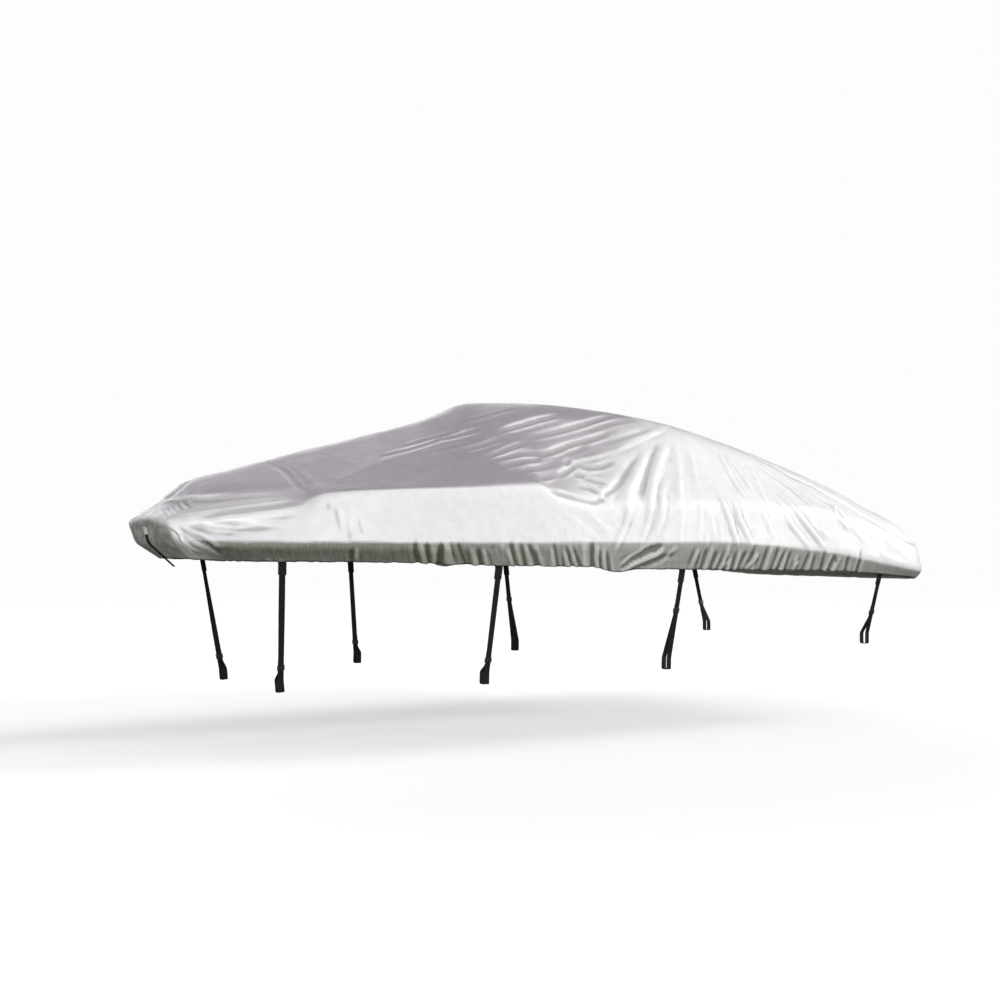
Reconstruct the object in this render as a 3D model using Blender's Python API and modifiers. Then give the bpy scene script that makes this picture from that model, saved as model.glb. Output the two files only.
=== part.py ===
# A fitted cover for a small open boat: one sheet of coated silver-grey cloth with an
# elastic-drawn hem, eight webbing tabs sewn inside it and the black straps that hang from them.
#
# Sizes are metres. Every table measures from the same three places:
#   aft  distance behind the front of the bow end
#   out  distance from the centreline, port and starboard alike
#   up   height above the ground
# The finished part has its origin at the underside of the top: +X points aft, -Y to port, +Z up.

from collections import namedtuple

import bpy
import numpy as np
from mathutils import Vector

ORIGIN_AFT = 2.60
ORIGIN_UP = 2.209

CLOTH_THICKNESS = 0.002
WEBBING_THICKNESS = 0.002
PIECE_GAP = 0.0003

# The lines that the cloth is stretched over. `along` is the distance round the rail line, from the
# middle of the bow end to the middle of the stern, so one value names one column of the loft.

LinePoint = namedtuple("LinePoint", "along aft out up")

HEM_LINE = (
    LinePoint(0.00, 0.110, 0.000, 1.148),
    LinePoint(0.22, 0.125, 0.150, 1.150),
    LinePoint(0.42, 0.175, 0.305, 1.146),
    LinePoint(0.70, 0.330, 0.490, 1.138),
    LinePoint(1.10, 0.600, 0.700, 1.134),
    LinePoint(1.80, 1.230, 0.930, 1.127),
    LinePoint(2.45, 1.860, 1.060, 1.104),
    LinePoint(3.10, 2.500, 1.105, 1.090),
    LinePoint(3.27, 2.660, 1.115, 1.056),
    LinePoint(3.45, 2.840, 1.112, 1.074),
    LinePoint(4.00, 3.380, 1.115, 1.064),
    LinePoint(5.00, 4.380, 1.100, 1.048),
    LinePoint(5.60, 4.980, 1.070, 1.020),
    LinePoint(5.95, 5.385, 1.025, 0.985),
    LinePoint(6.15, 5.490, 0.915, 0.970),
    LinePoint(6.60, 5.530, 0.450, 0.965),
    LinePoint(7.05, 5.535, 0.000, 0.965),
)

RAIL_LINE = (
    LinePoint(0.00, 0.000, 0.000, 1.245),
    LinePoint(0.24, 0.005, 0.240, 1.245),
    LinePoint(0.42, 0.050, 0.410, 1.243),
    LinePoint(0.60, 0.165, 0.540, 1.233),
    LinePoint(0.90, 0.370, 0.690, 1.223),
    LinePoint(1.30, 0.700, 0.860, 1.222),
    LinePoint(1.80, 1.170, 1.000, 1.218),
    LinePoint(2.45, 1.800, 1.110, 1.216),
    LinePoint(3.10, 2.440, 1.155, 1.218),
    LinePoint(4.00, 3.340, 1.170, 1.220),
    LinePoint(5.00, 4.340, 1.155, 1.186),
    LinePoint(5.60, 4.940, 1.130, 1.105),
    LinePoint(5.95, 5.370, 1.090, 1.040),
    LinePoint(6.15, 5.505, 0.975, 1.025),
    LinePoint(6.60, 5.555, 0.480, 1.020),
    LinePoint(7.05, 5.565, 0.000, 1.020),
)

EDGE_LINE = (
    LinePoint(0.00, -0.030, 0.000, 1.390),
    LinePoint(0.24, -0.030, 0.230, 1.390),
    LinePoint(0.42, -0.018, 0.365, 1.386),
    LinePoint(0.60, 0.140, 0.470, 1.402),
    LinePoint(0.90, 0.400, 0.620, 1.442),
    LinePoint(1.18, 0.680, 0.750, 1.485),
    LinePoint(1.32, 0.810, 0.815, 1.538),
    LinePoint(1.80, 1.210, 0.955, 1.563),
    LinePoint(2.30, 1.650, 1.035, 1.579),
    LinePoint(2.74, 2.090, 1.075, 1.596),
    LinePoint(2.92, 2.260, 1.095, 1.530),
    LinePoint(3.15, 2.480, 1.110, 1.492),
    LinePoint(4.00, 3.340, 1.125, 1.494),
    LinePoint(5.00, 4.340, 1.110, 1.462),
    LinePoint(5.60, 4.930, 1.090, 1.350),
    LinePoint(5.95, 5.345, 1.060, 1.235),
    LinePoint(6.15, 5.475, 0.945, 1.220),
    LinePoint(6.60, 5.530, 0.470, 1.235),
    LinePoint(7.05, 5.545, 0.000, 1.245),
)

SHOULDER_LINE = (
    LinePoint(0.00, 0.065, 0.000, 1.465),
    LinePoint(0.24, 0.070, 0.140, 1.465),
    LinePoint(0.42, 0.110, 0.210, 1.480),
    LinePoint(0.60, 0.220, 0.290, 1.545),
    LinePoint(0.90, 0.440, 0.430, 1.568),
    LinePoint(1.18, 0.700, 0.550, 1.585),
    LinePoint(1.40, 0.920, 0.560, 1.652),
    LinePoint(1.80, 1.300, 0.500, 1.768),
    LinePoint(2.30, 1.780, 0.420, 1.910),
    LinePoint(2.74, 2.200, 0.380, 2.080),
    LinePoint(3.20, 2.720, 0.350, 2.172),
    LinePoint(3.60, 3.080, 0.430, 2.140),
    LinePoint(4.10, 3.530, 0.550, 2.067),
    LinePoint(4.60, 4.000, 0.610, 1.945),
    LinePoint(5.00, 4.350, 0.680, 1.825),
    LinePoint(5.60, 4.880, 0.800, 1.610),
    LinePoint(5.95, 5.200, 0.920, 1.430),
    LinePoint(6.15, 5.380, 0.780, 1.400),
    LinePoint(6.60, 5.460, 0.400, 1.545),
    LinePoint(7.05, 5.490, 0.000, 1.600),
)

RIDGE_LINE = (
    LinePoint(0.00, 0.140, 0.000, 1.525),
    LinePoint(0.24, 0.185, 0.000, 1.570),
    LinePoint(0.42, 0.220, 0.000, 1.610),
    LinePoint(0.60, 0.270, 0.000, 1.652),
    LinePoint(0.90, 0.500, 0.000, 1.716),
    LinePoint(1.30, 0.860, 0.000, 1.815),
    LinePoint(1.80, 1.320, 0.000, 1.934),
    LinePoint(2.15, 1.680, 0.000, 2.028),
    LinePoint(2.35, 1.870, 0.000, 2.082),
    LinePoint(2.52, 2.040, 0.000, 2.148),
    LinePoint(2.70, 2.210, 0.000, 2.212),
    LinePoint(2.85, 2.360, 0.000, 2.216),
    LinePoint(3.09, 2.600, 0.000, 2.214),
    LinePoint(3.60, 3.080, 0.000, 2.190),
    LinePoint(4.10, 3.530, 0.000, 2.130),
    LinePoint(4.60, 4.000, 0.000, 2.035),
    LinePoint(5.00, 4.360, 0.000, 1.950),
    LinePoint(5.60, 4.850, 0.000, 1.815),
    LinePoint(6.00, 5.130, 0.000, 1.740),
    LinePoint(6.50, 5.300, 0.000, 1.695),
    LinePoint(7.05, 5.420, 0.000, 1.660),
)

CLOTH_LINES = (HEM_LINE, RAIL_LINE, EDGE_LINE, SHOULDER_LINE, RIDGE_LINE)
STERN_ALONG = HEM_LINE[-1].along

# How far each bend starts from its line, on both sides of it.
RAIL_BEND = 0.035
EDGE_BEND = 0.045
SHOULDER_BEND = 0.180
RIDGE_BEND = 0.140
LONGEST_BEND_SHARE = 0.45

# Straps, bow to stern. `along` is the middle of the tab, the foot is the lowest part of the bight
# and the buckle is that much above it.
Strap = namedtuple("Strap", "along foot_aft foot_out foot_up buckle_rise")
STRAPS = (
    Strap(1.070, 0.658, 0.470, 0.350, 0.150),
    Strap(2.425, 1.824, 0.900, 0.376, 0.150),
    Strap(3.810, 3.184, 0.950, 0.410, 0.390),
    Strap(5.625, 5.016, 0.900, 0.510, 0.230),
)

# Columns of the loft: the last `along` of each stretch and the cells in it. Every tab has one
# narrow cell of its own.
TAB_CELL = 0.060
Stretch = namedtuple("Stretch", "upto cells")
STRETCHES = (
    Stretch(0.42, 4),
    Stretch(STRAPS[0].along - TAB_CELL / 2, 5),
    Stretch(STRAPS[0].along + TAB_CELL / 2, 1),
    Stretch(1.32, 2),
    Stretch(STRAPS[1].along - TAB_CELL / 2, 9),
    Stretch(STRAPS[1].along + TAB_CELL / 2, 1),
    Stretch(STRAPS[2].along - TAB_CELL / 2, 17),
    Stretch(STRAPS[2].along + TAB_CELL / 2, 1),
    Stretch(4.50, 7),
    Stretch(STRAPS[3].along - TAB_CELL / 2, 8),
    Stretch(STRAPS[3].along + TAB_CELL / 2, 1),
    Stretch(6.20, 5),
    Stretch(STERN_ALONG, 4),
)

# Main folds. Each runs through its points (aft, out, up): a minus depth is a trough. `reach` is
# how far to each side it fades out.
Fold = namedtuple("Fold", "depth reach points")
FOLDS = (
    Fold(-0.012, 0.035, ((-0.02, 0.32, 1.37), (0.14, 0.45, 1.21))),
    Fold(-0.014, 0.035, ((-0.02, 0.33, 1.37), (0.22, 0.57, 1.23))),
    Fold(-0.012, 0.040, ((0.05, 0.38, 1.41), (0.43, 0.62, 1.45))),
    Fold(-0.012, 0.050, ((0.75, 0.05, 1.77), (0.78, 0.28, 1.68), (0.75, 0.67, 1.55))),
    Fold(-0.010, 0.045, ((1.50, 0.41, 1.84), (1.79, 0.42, 1.91), (2.06, 0.47, 1.98))),
    Fold(-0.016, 0.050, ((1.88, 0.78, 1.75), (2.49, 0.63, 1.91), (3.15, 0.48, 2.07))),
    Fold(-0.014, 0.045, ((2.18, 0.53, 1.97), (2.47, 0.48, 2.04), (2.75, 0.41, 2.10))),
    Fold(-0.020, 0.055, ((2.50, 0.87, 1.71), (2.57, 1.07, 1.53))),
    Fold(0.014, 0.050, ((2.63, 0.81, 1.76), (2.69, 1.02, 1.58))),
    Fold(-0.014, 0.045, ((2.30, 1.11, 1.45), (2.58, 1.15, 1.27))),
    Fold(-0.020, 0.055, ((3.10, 0.78, 1.81), (2.78, 1.01, 1.59), (2.60, 1.16, 1.23))),
    Fold(-0.019, 0.055, ((3.29, 0.71, 1.90), (2.92, 1.07, 1.54), (2.81, 1.16, 1.26))),
    Fold(-0.013, 0.055, ((3.43, 0.89, 1.73), (3.22, 1.16, 1.27))),
    Fold(-0.014, 0.050, ((3.83, 0.73, 1.86), (3.81, 1.07, 1.54), (3.74, 1.16, 1.25))),
    Fold(-0.016, 0.050, ((4.08, 0.94, 1.63), (4.17, 1.11, 1.46), (4.41, 1.15, 1.22))),
    Fold(-0.014, 0.055, ((4.20, 0.80, 1.74), (4.38, 1.09, 1.47), (4.60, 1.12, 1.30))),
    Fold(-0.012, 0.055, ((4.45, 0.91, 1.62), (4.70, 1.00, 1.49))),
)
# The starboard folds are the same ones, a little further aft and shallower.
STARBOARD_FOLD_SHIFT = 0.060
STARBOARD_FOLD_SHARE = 0.80
FOLD_END_SHARE = 0.25
# A fold already has this much of its depth at its very ends.
FOLD_END_START = 0.30
# The cloth stays taut this close to the centreline.
TAUT_CENTRE = 0.100

# The elastic gathers the lowest two rows of the cloth between these two places.
GATHERED_FROM = 2.60
GATHERED_TO = 5.45
GATHER_DEPTH = 0.004
GATHER_SPACING = 0.210
GATHERED_ROWS = 2

STRAP_WIDTH = 0.038
TAB_WIDTH = 0.050
# The tab reaches up inside the cloth by this share of the lowest row, and down past the hem.
TAB_ROW_SHARE = 0.85
TAB_GAP = 0.0008
TAB_BEND_DROP = 0.012
TAB_DROP = 0.075
STRAP_START_DROP = 0.025
# From here down to the free end the strap turns from the line of the hem to face straight out.
TWIST_START_DROP = 0.090
TWIST_END_RISE = 0.010
TWIST_STEPS = 6
# The bight is as wide and as deep as the bar that it goes round.
BIGHT_WIDTH = 0.054
BIGHT_DEPTH = 0.076
BIGHT_BEND = 0.012
STRANDS_MEET_BELOW_BUCKLE = 0.030
STRAND_SPACING = WEBBING_THICKNESS + 0.0004
STRAP_TAIL = 0.030

BUCKLE_WIDTH = 0.049
BUCKLE_DEPTH = 0.012
BUCKLE_HEIGHT = 0.030
SLOT_WIDTH = STRAP_WIDTH + 2 * PIECE_GAP
SLOT_DEPTH = STRAND_SPACING + WEBBING_THICKNESS + 2 * PIECE_GAP

BOW_TAB_WIDTH = 0.070
BOW_TAB_HEIGHT = 0.045
BOW_TAB_UP = 1.318
BOW_STRAP_WIDTH = 0.050
BOW_STRAP_TOP = 1.312
BOW_STRAP_TAIL = 0.070

SILVER_CLOTH = ((0.55, 0.54, 0.55, 1.0), 0.45)
BLACK_WEBBING = ((0.012, 0.012, 0.013, 1.0), 0.80)
BLACK_PLASTIC = ((0.015, 0.015, 0.015, 1.0), 0.40)


def clear_scene():
    for found in list(bpy.data.objects):
        bpy.data.objects.remove(found, do_unlink=True)


def material(name, finish):
    colour, roughness = finish
    made = bpy.data.materials.new(name)
    made.use_nodes = True
    shader = made.node_tree.nodes["Principled BSDF"]
    shader.inputs["Base Color"].default_value = colour
    shader.inputs["Roughness"].default_value = roughness
    return made


def collection(name):
    made = bpy.data.collections.new(name)
    bpy.context.scene.collection.children.link(made)
    return made


def monotone_curve(knots, values):
    """A smooth curve through the values that never swings past them."""
    steps = np.diff(knots)
    rates = np.diff(values) / steps
    slopes = np.zeros(len(knots))
    slopes[0] = rates[0]
    slopes[-1] = rates[-1]
    for i in range(1, len(knots) - 1):
        if rates[i - 1] * rates[i] > 0.0:
            before = 2 * steps[i] + steps[i - 1]
            after = steps[i] + 2 * steps[i - 1]
            slopes[i] = (before + after) / (before / rates[i - 1] + after / rates[i])

    def value_at(where):
        i = int(np.clip(np.searchsorted(knots, where) - 1, 0, len(knots) - 2))
        t = (where - knots[i]) / steps[i]
        return (
            values[i] * (1 + 2 * t) * (1 - t) ** 2
            + slopes[i] * steps[i] * t * (1 - t) ** 2
            + values[i + 1] * t * t * (3 - 2 * t)
            + slopes[i + 1] * steps[i] * t * t * (t - 1)
        )

    return value_at


def line_curve(line):
    """The 3-D curve through one table, as a function of along."""
    knots = np.array([point.along for point in line])
    curves = [
        monotone_curve(knots, np.array([getattr(point, name) for point in line]))
        for name in ("aft", "out", "up")
    ]
    return lambda along: Vector([curve(along) for curve in curves])


def bend(before, corner, after, reach):
    """Start, middle and end of a rounded corner."""
    back = (before - corner).length
    ahead = (after - corner).length
    start = corner + (before - corner) * min(reach / back, LONGEST_BEND_SHARE)
    end = corner + (after - corner) * min(reach / ahead, LONGEST_BEND_SHARE)
    return start, (start + 2 * corner + end) / 4, end


def rounded(points, reach):
    """The same run of points with every inner corner rounded."""
    path = [points[0]]
    for before, corner, after in zip(points, points[1:], points[2:]):
        path += bend(before, corner, after, reach)
    return path + [points[-1]]


def section(curves, along):
    """One port column of the cloth, from the hem up to the ridge."""
    hem, rail, edge, shoulder, ridge = [curve(along) for curve in curves]
    across = Vector((shoulder.x, -shoulder.y, shoulder.z))
    rail_bend = bend(hem, rail, edge, RAIL_BEND)
    edge_bend = bend(rail, edge, shoulder, EDGE_BEND)
    shoulder_bend = bend(edge, shoulder, ridge, SHOULDER_BEND)
    ridge_start, ridge_top, _ = bend(shoulder, ridge, across, RIDGE_BEND)
    ridge_top.x = ridge.x
    ridge_top.y = 0.0
    return [
        hem,
        hem.lerp(rail_bend[0], 1 / 2),
        *rail_bend,
        rail_bend[2].lerp(edge_bend[0], 1 / 3),
        rail_bend[2].lerp(edge_bend[0], 2 / 3),
        *edge_bend,
        edge_bend[2].lerp(shoulder_bend[0], 1 / 4),
        edge_bend[2].lerp(shoulder_bend[0], 2 / 4),
        edge_bend[2].lerp(shoulder_bend[0], 3 / 4),
        *shoulder_bend,
        ridge_start,
        ridge_top,
    ]


def column_places():
    places = [0.0]
    for stretch in STRETCHES:
        start = places[-1]
        width = (stretch.upto - start) / stretch.cells
        places += [start + width * (i + 1) for i in range(stretch.cells)]
    return np.array(places)


def unit(vectors):
    return vectors / np.linalg.norm(vectors, axis=-1, keepdims=True)


def smooth_step(values):
    held = np.clip(values, 0.0, 1.0)
    return held * held * (3 - 2 * held)


def fold_height(grid, fold, shift):
    """How far one fold moves each point of the grid outward."""
    corners = np.array(fold.points) + np.array((shift, 0.0, 0.0))
    spans = np.diff(corners, axis=0)
    lengths = np.linalg.norm(spans, axis=1)
    starts = np.concatenate(([0.0], np.cumsum(lengths)))
    nearest = np.full(grid.shape[:2], np.inf)
    place = np.zeros(grid.shape[:2])
    for corner, span, length, start in zip(corners, spans, lengths, starts):
        t = np.clip(((grid - corner) @ span) / length**2, 0.0, 1.0)
        away = np.linalg.norm(grid - corner - t[..., None] * span, axis=-1)
        closer = away < nearest
        nearest = np.where(closer, away, nearest)
        place = np.where(closer, start + t * length, place)
    to_end = np.minimum(place, starts[-1] - place) / (starts[-1] * FOLD_END_SHARE)
    across = np.exp(-((nearest / fold.reach) ** 2))
    return fold.depth * across * smooth_step(FOLD_END_START + to_end)


def cloth_grid(side):
    """Points of one half of the cloth in table measures: a column for each place along."""
    curves = [line_curve(line) for line in CLOTH_LINES]
    places = column_places()
    grid = np.array([section(curves, along) for along in places])
    outward = unit(np.cross(np.gradient(grid, axis=1), np.gradient(grid, axis=0)))
    if side == 1:
        height = sum(fold_height(grid, fold, 0.0) for fold in FOLDS)
    else:
        height = sum(fold_height(grid, fold, STARBOARD_FOLD_SHIFT) for fold in FOLDS)
        height = height * STARBOARD_FOLD_SHARE
    height = height * np.clip(grid[..., 1] / TAUT_CENTRE, 0.0, 1.0)
    gathered = (places > GATHERED_FROM) & (places < GATHERED_TO)
    waves = GATHER_DEPTH * np.sin(2 * np.pi * places / GATHER_SPACING)
    height[gathered, :GATHERED_ROWS] += waves[gathered, None]
    return grid + outward * height[..., None]


def placed(point, side):
    """From table measures to the part's own frame. Port is side 1, starboard is side -1."""
    return Vector((point[0] - ORIGIN_AFT, -side * point[1], point[2] - ORIGIN_UP))


def add_piece(into, name, verts, faces, thickness, offset, finish):
    """An open surface given an even thickness."""
    mesh = bpy.data.meshes.new(name)
    mesh.from_pydata(verts, [], faces)
    mesh.shade_smooth()
    mesh.materials.append(finish)
    piece = bpy.data.objects.new(name, mesh)
    into.objects.link(piece)
    skin = piece.modifiers.new("thickness", "SOLIDIFY")
    skin.thickness = thickness
    skin.offset = offset
    return piece


def build_cloth(into, grids, finish):
    columns, rows = grids[1].shape[:2]
    numbers = {}
    verts = []
    faces = []
    for side in (1, -1):
        for column in range(columns):
            for row in range(rows):
                on_centre = row == rows - 1 or column in (0, columns - 1)
                key = (column, row, 1 if on_centre else side)
                if key not in numbers:
                    numbers[key] = len(verts)
                    verts.append(placed(grids[side][column][row], side))
                numbers[(column, row, side)] = numbers[key]
        for column in range(columns - 1):
            for row in range(rows - 1):
                corners = (
                    numbers[(column, row, side)],
                    numbers[(column + 1, row, side)],
                    numbers[(column + 1, row + 1, side)],
                    numbers[(column, row + 1, side)],
                )
                faces.append(corners[::side])
    return add_piece(into, "cover_cloth", verts, faces, CLOTH_THICKNESS, -1.0, finish)


def add_strip(into, name, path, half_widths, finish, side):
    """Webbing along a path, with its half width at each point as a vector."""
    verts = []
    for point, half_width in zip(path, half_widths):
        verts.append(placed(point - half_width, side))
        verts.append(placed(point + half_width, side))
    faces = [(i, i + 1, i + 3, i + 2)[::side] for i in range(0, len(verts) - 2, 2)]
    return add_piece(into, name, verts, faces, WEBBING_THICKNESS, 0.0, finish)


def square_to(vector, direction):
    """The part of a vector that is square to a direction, one metre long."""
    return (vector - direction * vector.dot(direction)).normalized()


def tab_frame(grid, strap):
    """Where one tab leaves the hem: its path inside the cloth and the lines to lay webbing on."""
    before = int(np.searchsorted(column_places(), strap.along)) - 1
    corners = grid[before : before + 2, :2]
    hem = Vector(corners[:, 0].mean(axis=0))
    above = Vector(corners[:, 1].mean(axis=0))
    hem_line = Vector(corners[1, 0] - corners[0, 0]).normalized()
    upward = (above - hem).normalized()
    outward = upward.cross(hem_line).normalized()
    inset = outward * -(CLOTH_THICKNESS + TAB_GAP + WEBBING_THICKNESS / 2)
    top = hem.lerp(above, TAB_ROW_SHARE) + inset
    turn = hem - upward * TAB_BEND_DROP + inset
    return top, turn, hem_line


def build_strap(into, grid, number, strap, finishes, side):
    """One tab, the strap that hangs from it and its buckle."""
    _, webbing, plastic = finishes
    where = "port" if side == 1 else "starboard"
    top, turn, hem_line = tab_frame(grid, strap)

    # The outer strand is one straight run, from the tab to the outer side of the bight.
    bight_top = Vector((0.0, strap.foot_out + BIGHT_WIDTH / 2, strap.foot_up + BIGHT_DEPTH))
    fall = turn.z - strap.foot_up
    lean = (strap.foot_aft - turn.x) / fall
    bight_top.x = turn.x + lean * (turn.z - bight_top.z)
    down = (bight_top - turn).normalized()
    across_hem = square_to(hem_line, down)
    across = square_to(Vector((1.0, 0.0, 0.0)), down)
    outward = down.cross(across_hem)
    outward *= -1.0 if outward.y < 0.0 else 1.0

    tab_path = rounded([top, turn, turn + down * TAB_DROP], TAB_BEND_DROP / 2)
    tab_halves = [hem_line * TAB_WIDTH / 2] + [across_hem * TAB_WIDTH / 2] * (len(tab_path) - 1)
    add_strip(into, f"tab_{where}_{number}", tab_path, tab_halves, webbing, side)

    start = turn + down * STRAP_START_DROP + outward * (WEBBING_THICKNESS + PIECE_GAP)
    outer_top = start + down * ((start.z - bight_top.z) / -down.z)
    buckle_up = strap.foot_up + strap.buckle_rise
    meeting = start + down * ((start.z - buckle_up + STRANDS_MEET_BELOW_BUCKLE) / -down.z)
    past_buckle = STRANDS_MEET_BELOW_BUCKLE + BUCKLE_HEIGHT / 2 + STRAP_TAIL
    twist_from = start + down * (TWIST_START_DROP - STRAP_START_DROP)
    twist_to = meeting - down * (past_buckle + TWIST_END_RISE)
    strand = [start]
    turns = [0.0]
    for step in range(TWIST_STEPS + 1):
        strand.append(twist_from.lerp(twist_to, step / TWIST_STEPS))
        turns.append(float(smooth_step(step / TWIST_STEPS)))

    # The bight: down one side, under and up the other, then back beside the outer strand.
    plumb = Vector((lean, 0.0, -1.0)) * BIGHT_DEPTH
    outer_foot = outer_top + plumb
    inner_foot = outer_foot - Vector((0.0, BIGHT_WIDTH, 0.0))
    inner_top = inner_foot - plumb
    facing = down.cross(across)
    facing *= -1.0 if facing.y < 0.0 else 1.0
    inner_start = meeting - facing * STRAND_SPACING
    inner_end = inner_start - down * past_buckle
    corners = [twist_to, outer_top, outer_foot, inner_foot, inner_top, inner_start, inner_end]
    bight = rounded(corners, BIGHT_BEND)
    path = strand + bight[1:]
    turns += [1.0] * (len(bight) - 1)
    halves = [square_to(across_hem.lerp(across, turn), down) * STRAP_WIDTH / 2 for turn in turns]
    add_strip(into, f"strap_{where}_{number}", path, halves, webbing, side)

    # The buckle is a flat ring across the two strands, drawn out along them.
    middle = meeting - facing * STRAND_SPACING / 2 - down * STRANDS_MEET_BELOW_BUCKLE
    verts = []
    for width, depth in ((BUCKLE_WIDTH, BUCKLE_DEPTH), (SLOT_WIDTH, SLOT_DEPTH)):
        for u, v in ((-1, -1), (1, -1), (1, 1), (-1, 1)):
            corner = middle + across * (u * width / 2) + facing * (v * depth / 2)
            verts.append(placed(corner, side))
    faces = [(i, (i + 1) % 4, 4 + (i + 1) % 4, 4 + i) for i in range(4)]
    add_piece(into, f"buckle_{where}_{number}", verts, faces, BUCKLE_HEIGHT, 0.0, plastic)


def build_bow_strap(into, grid, finishes):
    """The short strap down the middle of the bow end and the patch that holds its top."""
    silver, webbing, _ = finishes
    centre = [Vector(point) for point in grid[0]]
    hem, rail_end, edge_start = centre[0], centre[4], centre[7]
    face_up = (edge_start - rail_end).normalized()
    off_face = Vector((-face_up.z, 0.0, face_up.x))
    off_cloth = PIECE_GAP + WEBBING_THICKNESS / 2
    sideways = Vector((0.0, 1.0, 0.0))

    path = [rail_end + face_up * (BOW_STRAP_TOP - rail_end.z) + off_face * off_cloth]
    for below, point, above in zip(centre[3::-1], centre[4:0:-1], centre[5:1:-1]):
        upward = (above - below).normalized()
        path.append(point + Vector((-upward.z, 0.0, upward.x)) * off_cloth)
    upward = (centre[1] - hem).normalized()
    off_hem = Vector((-upward.z, 0.0, upward.x)) * off_cloth
    path += [hem + off_hem, hem + off_hem - upward * BOW_STRAP_TAIL]
    halves = [sideways * BOW_STRAP_WIDTH / 2] * len(path)
    add_strip(into, "bow_strap", path, halves, webbing, 1)

    middle = rail_end + face_up * (BOW_TAB_UP - rail_end.z)
    middle += off_face * (off_cloth + PIECE_GAP + WEBBING_THICKNESS)
    path = [middle + face_up * BOW_TAB_HEIGHT / 2, middle - face_up * BOW_TAB_HEIGHT / 2]
    add_strip(into, "bow_tab", path, [sideways * BOW_TAB_WIDTH / 2] * 2, silver, 1)


def main():
    clear_scene()
    parts = collection("boat_cover")
    finishes = (
        material("silver_cloth", SILVER_CLOTH),
        material("black_webbing", BLACK_WEBBING),
        material("black_plastic", BLACK_PLASTIC),
    )
    grids = {side: cloth_grid(side) for side in (1, -1)}
    build_cloth(parts, grids, finishes[0])
    for side in (1, -1):
        for number, strap in enumerate(STRAPS, start=1):
            build_strap(parts, grids[side], number, strap, finishes, side)
    build_bow_strap(parts, grids[1], finishes)


main()
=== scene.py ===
import math
import bpy
import numpy as np
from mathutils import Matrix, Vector


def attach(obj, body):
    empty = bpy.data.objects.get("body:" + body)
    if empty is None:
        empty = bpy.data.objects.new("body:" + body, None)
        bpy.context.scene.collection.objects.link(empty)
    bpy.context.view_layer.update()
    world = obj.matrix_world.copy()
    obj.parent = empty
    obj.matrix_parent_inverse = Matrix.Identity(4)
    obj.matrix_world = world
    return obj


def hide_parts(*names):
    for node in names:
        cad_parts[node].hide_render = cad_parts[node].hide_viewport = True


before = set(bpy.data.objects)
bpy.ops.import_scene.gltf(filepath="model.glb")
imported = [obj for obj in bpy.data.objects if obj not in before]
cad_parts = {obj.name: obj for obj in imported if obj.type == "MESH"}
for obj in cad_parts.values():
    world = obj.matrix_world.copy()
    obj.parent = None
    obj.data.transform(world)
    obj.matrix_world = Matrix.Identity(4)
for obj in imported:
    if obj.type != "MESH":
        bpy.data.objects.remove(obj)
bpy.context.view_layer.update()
print("frame loaded")

# Tables are in the cover's own measures: aft of the front of the bow end, out from the
# centreline and up from the floor, in metres unless they say otherwise. The frame has its
# origin under the top, with +X aft and +Y to starboard.
originAft = 2.60
originUp = 2.209

view = {
    "place": (-5.445, -8.860, -0.929),
    "turn": 31.0,  # degrees off square to the side
    "lens": 54.0,
    "sensor": 36.0,
    "rise": 0.037,
    "farthest": 200.0,
}


def makeCamera():
    lens = bpy.data.cameras.new("camera")
    lens.lens = view["lens"]
    lens.sensor_width = view["sensor"]
    lens.shift_y = view["rise"]
    lens.clip_end = view["farthest"]
    camera = bpy.data.objects.new("camera", lens)
    camera.location = view["place"]
    camera.rotation_euler = (math.radians(90.0), 0.0, math.radians(-view["turn"]))
    bpy.context.scene.collection.objects.link(camera)
    bpy.context.scene.camera = camera


makeCamera()
bpy.context.scene.view_settings.view_transform = "Standard"


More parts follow.
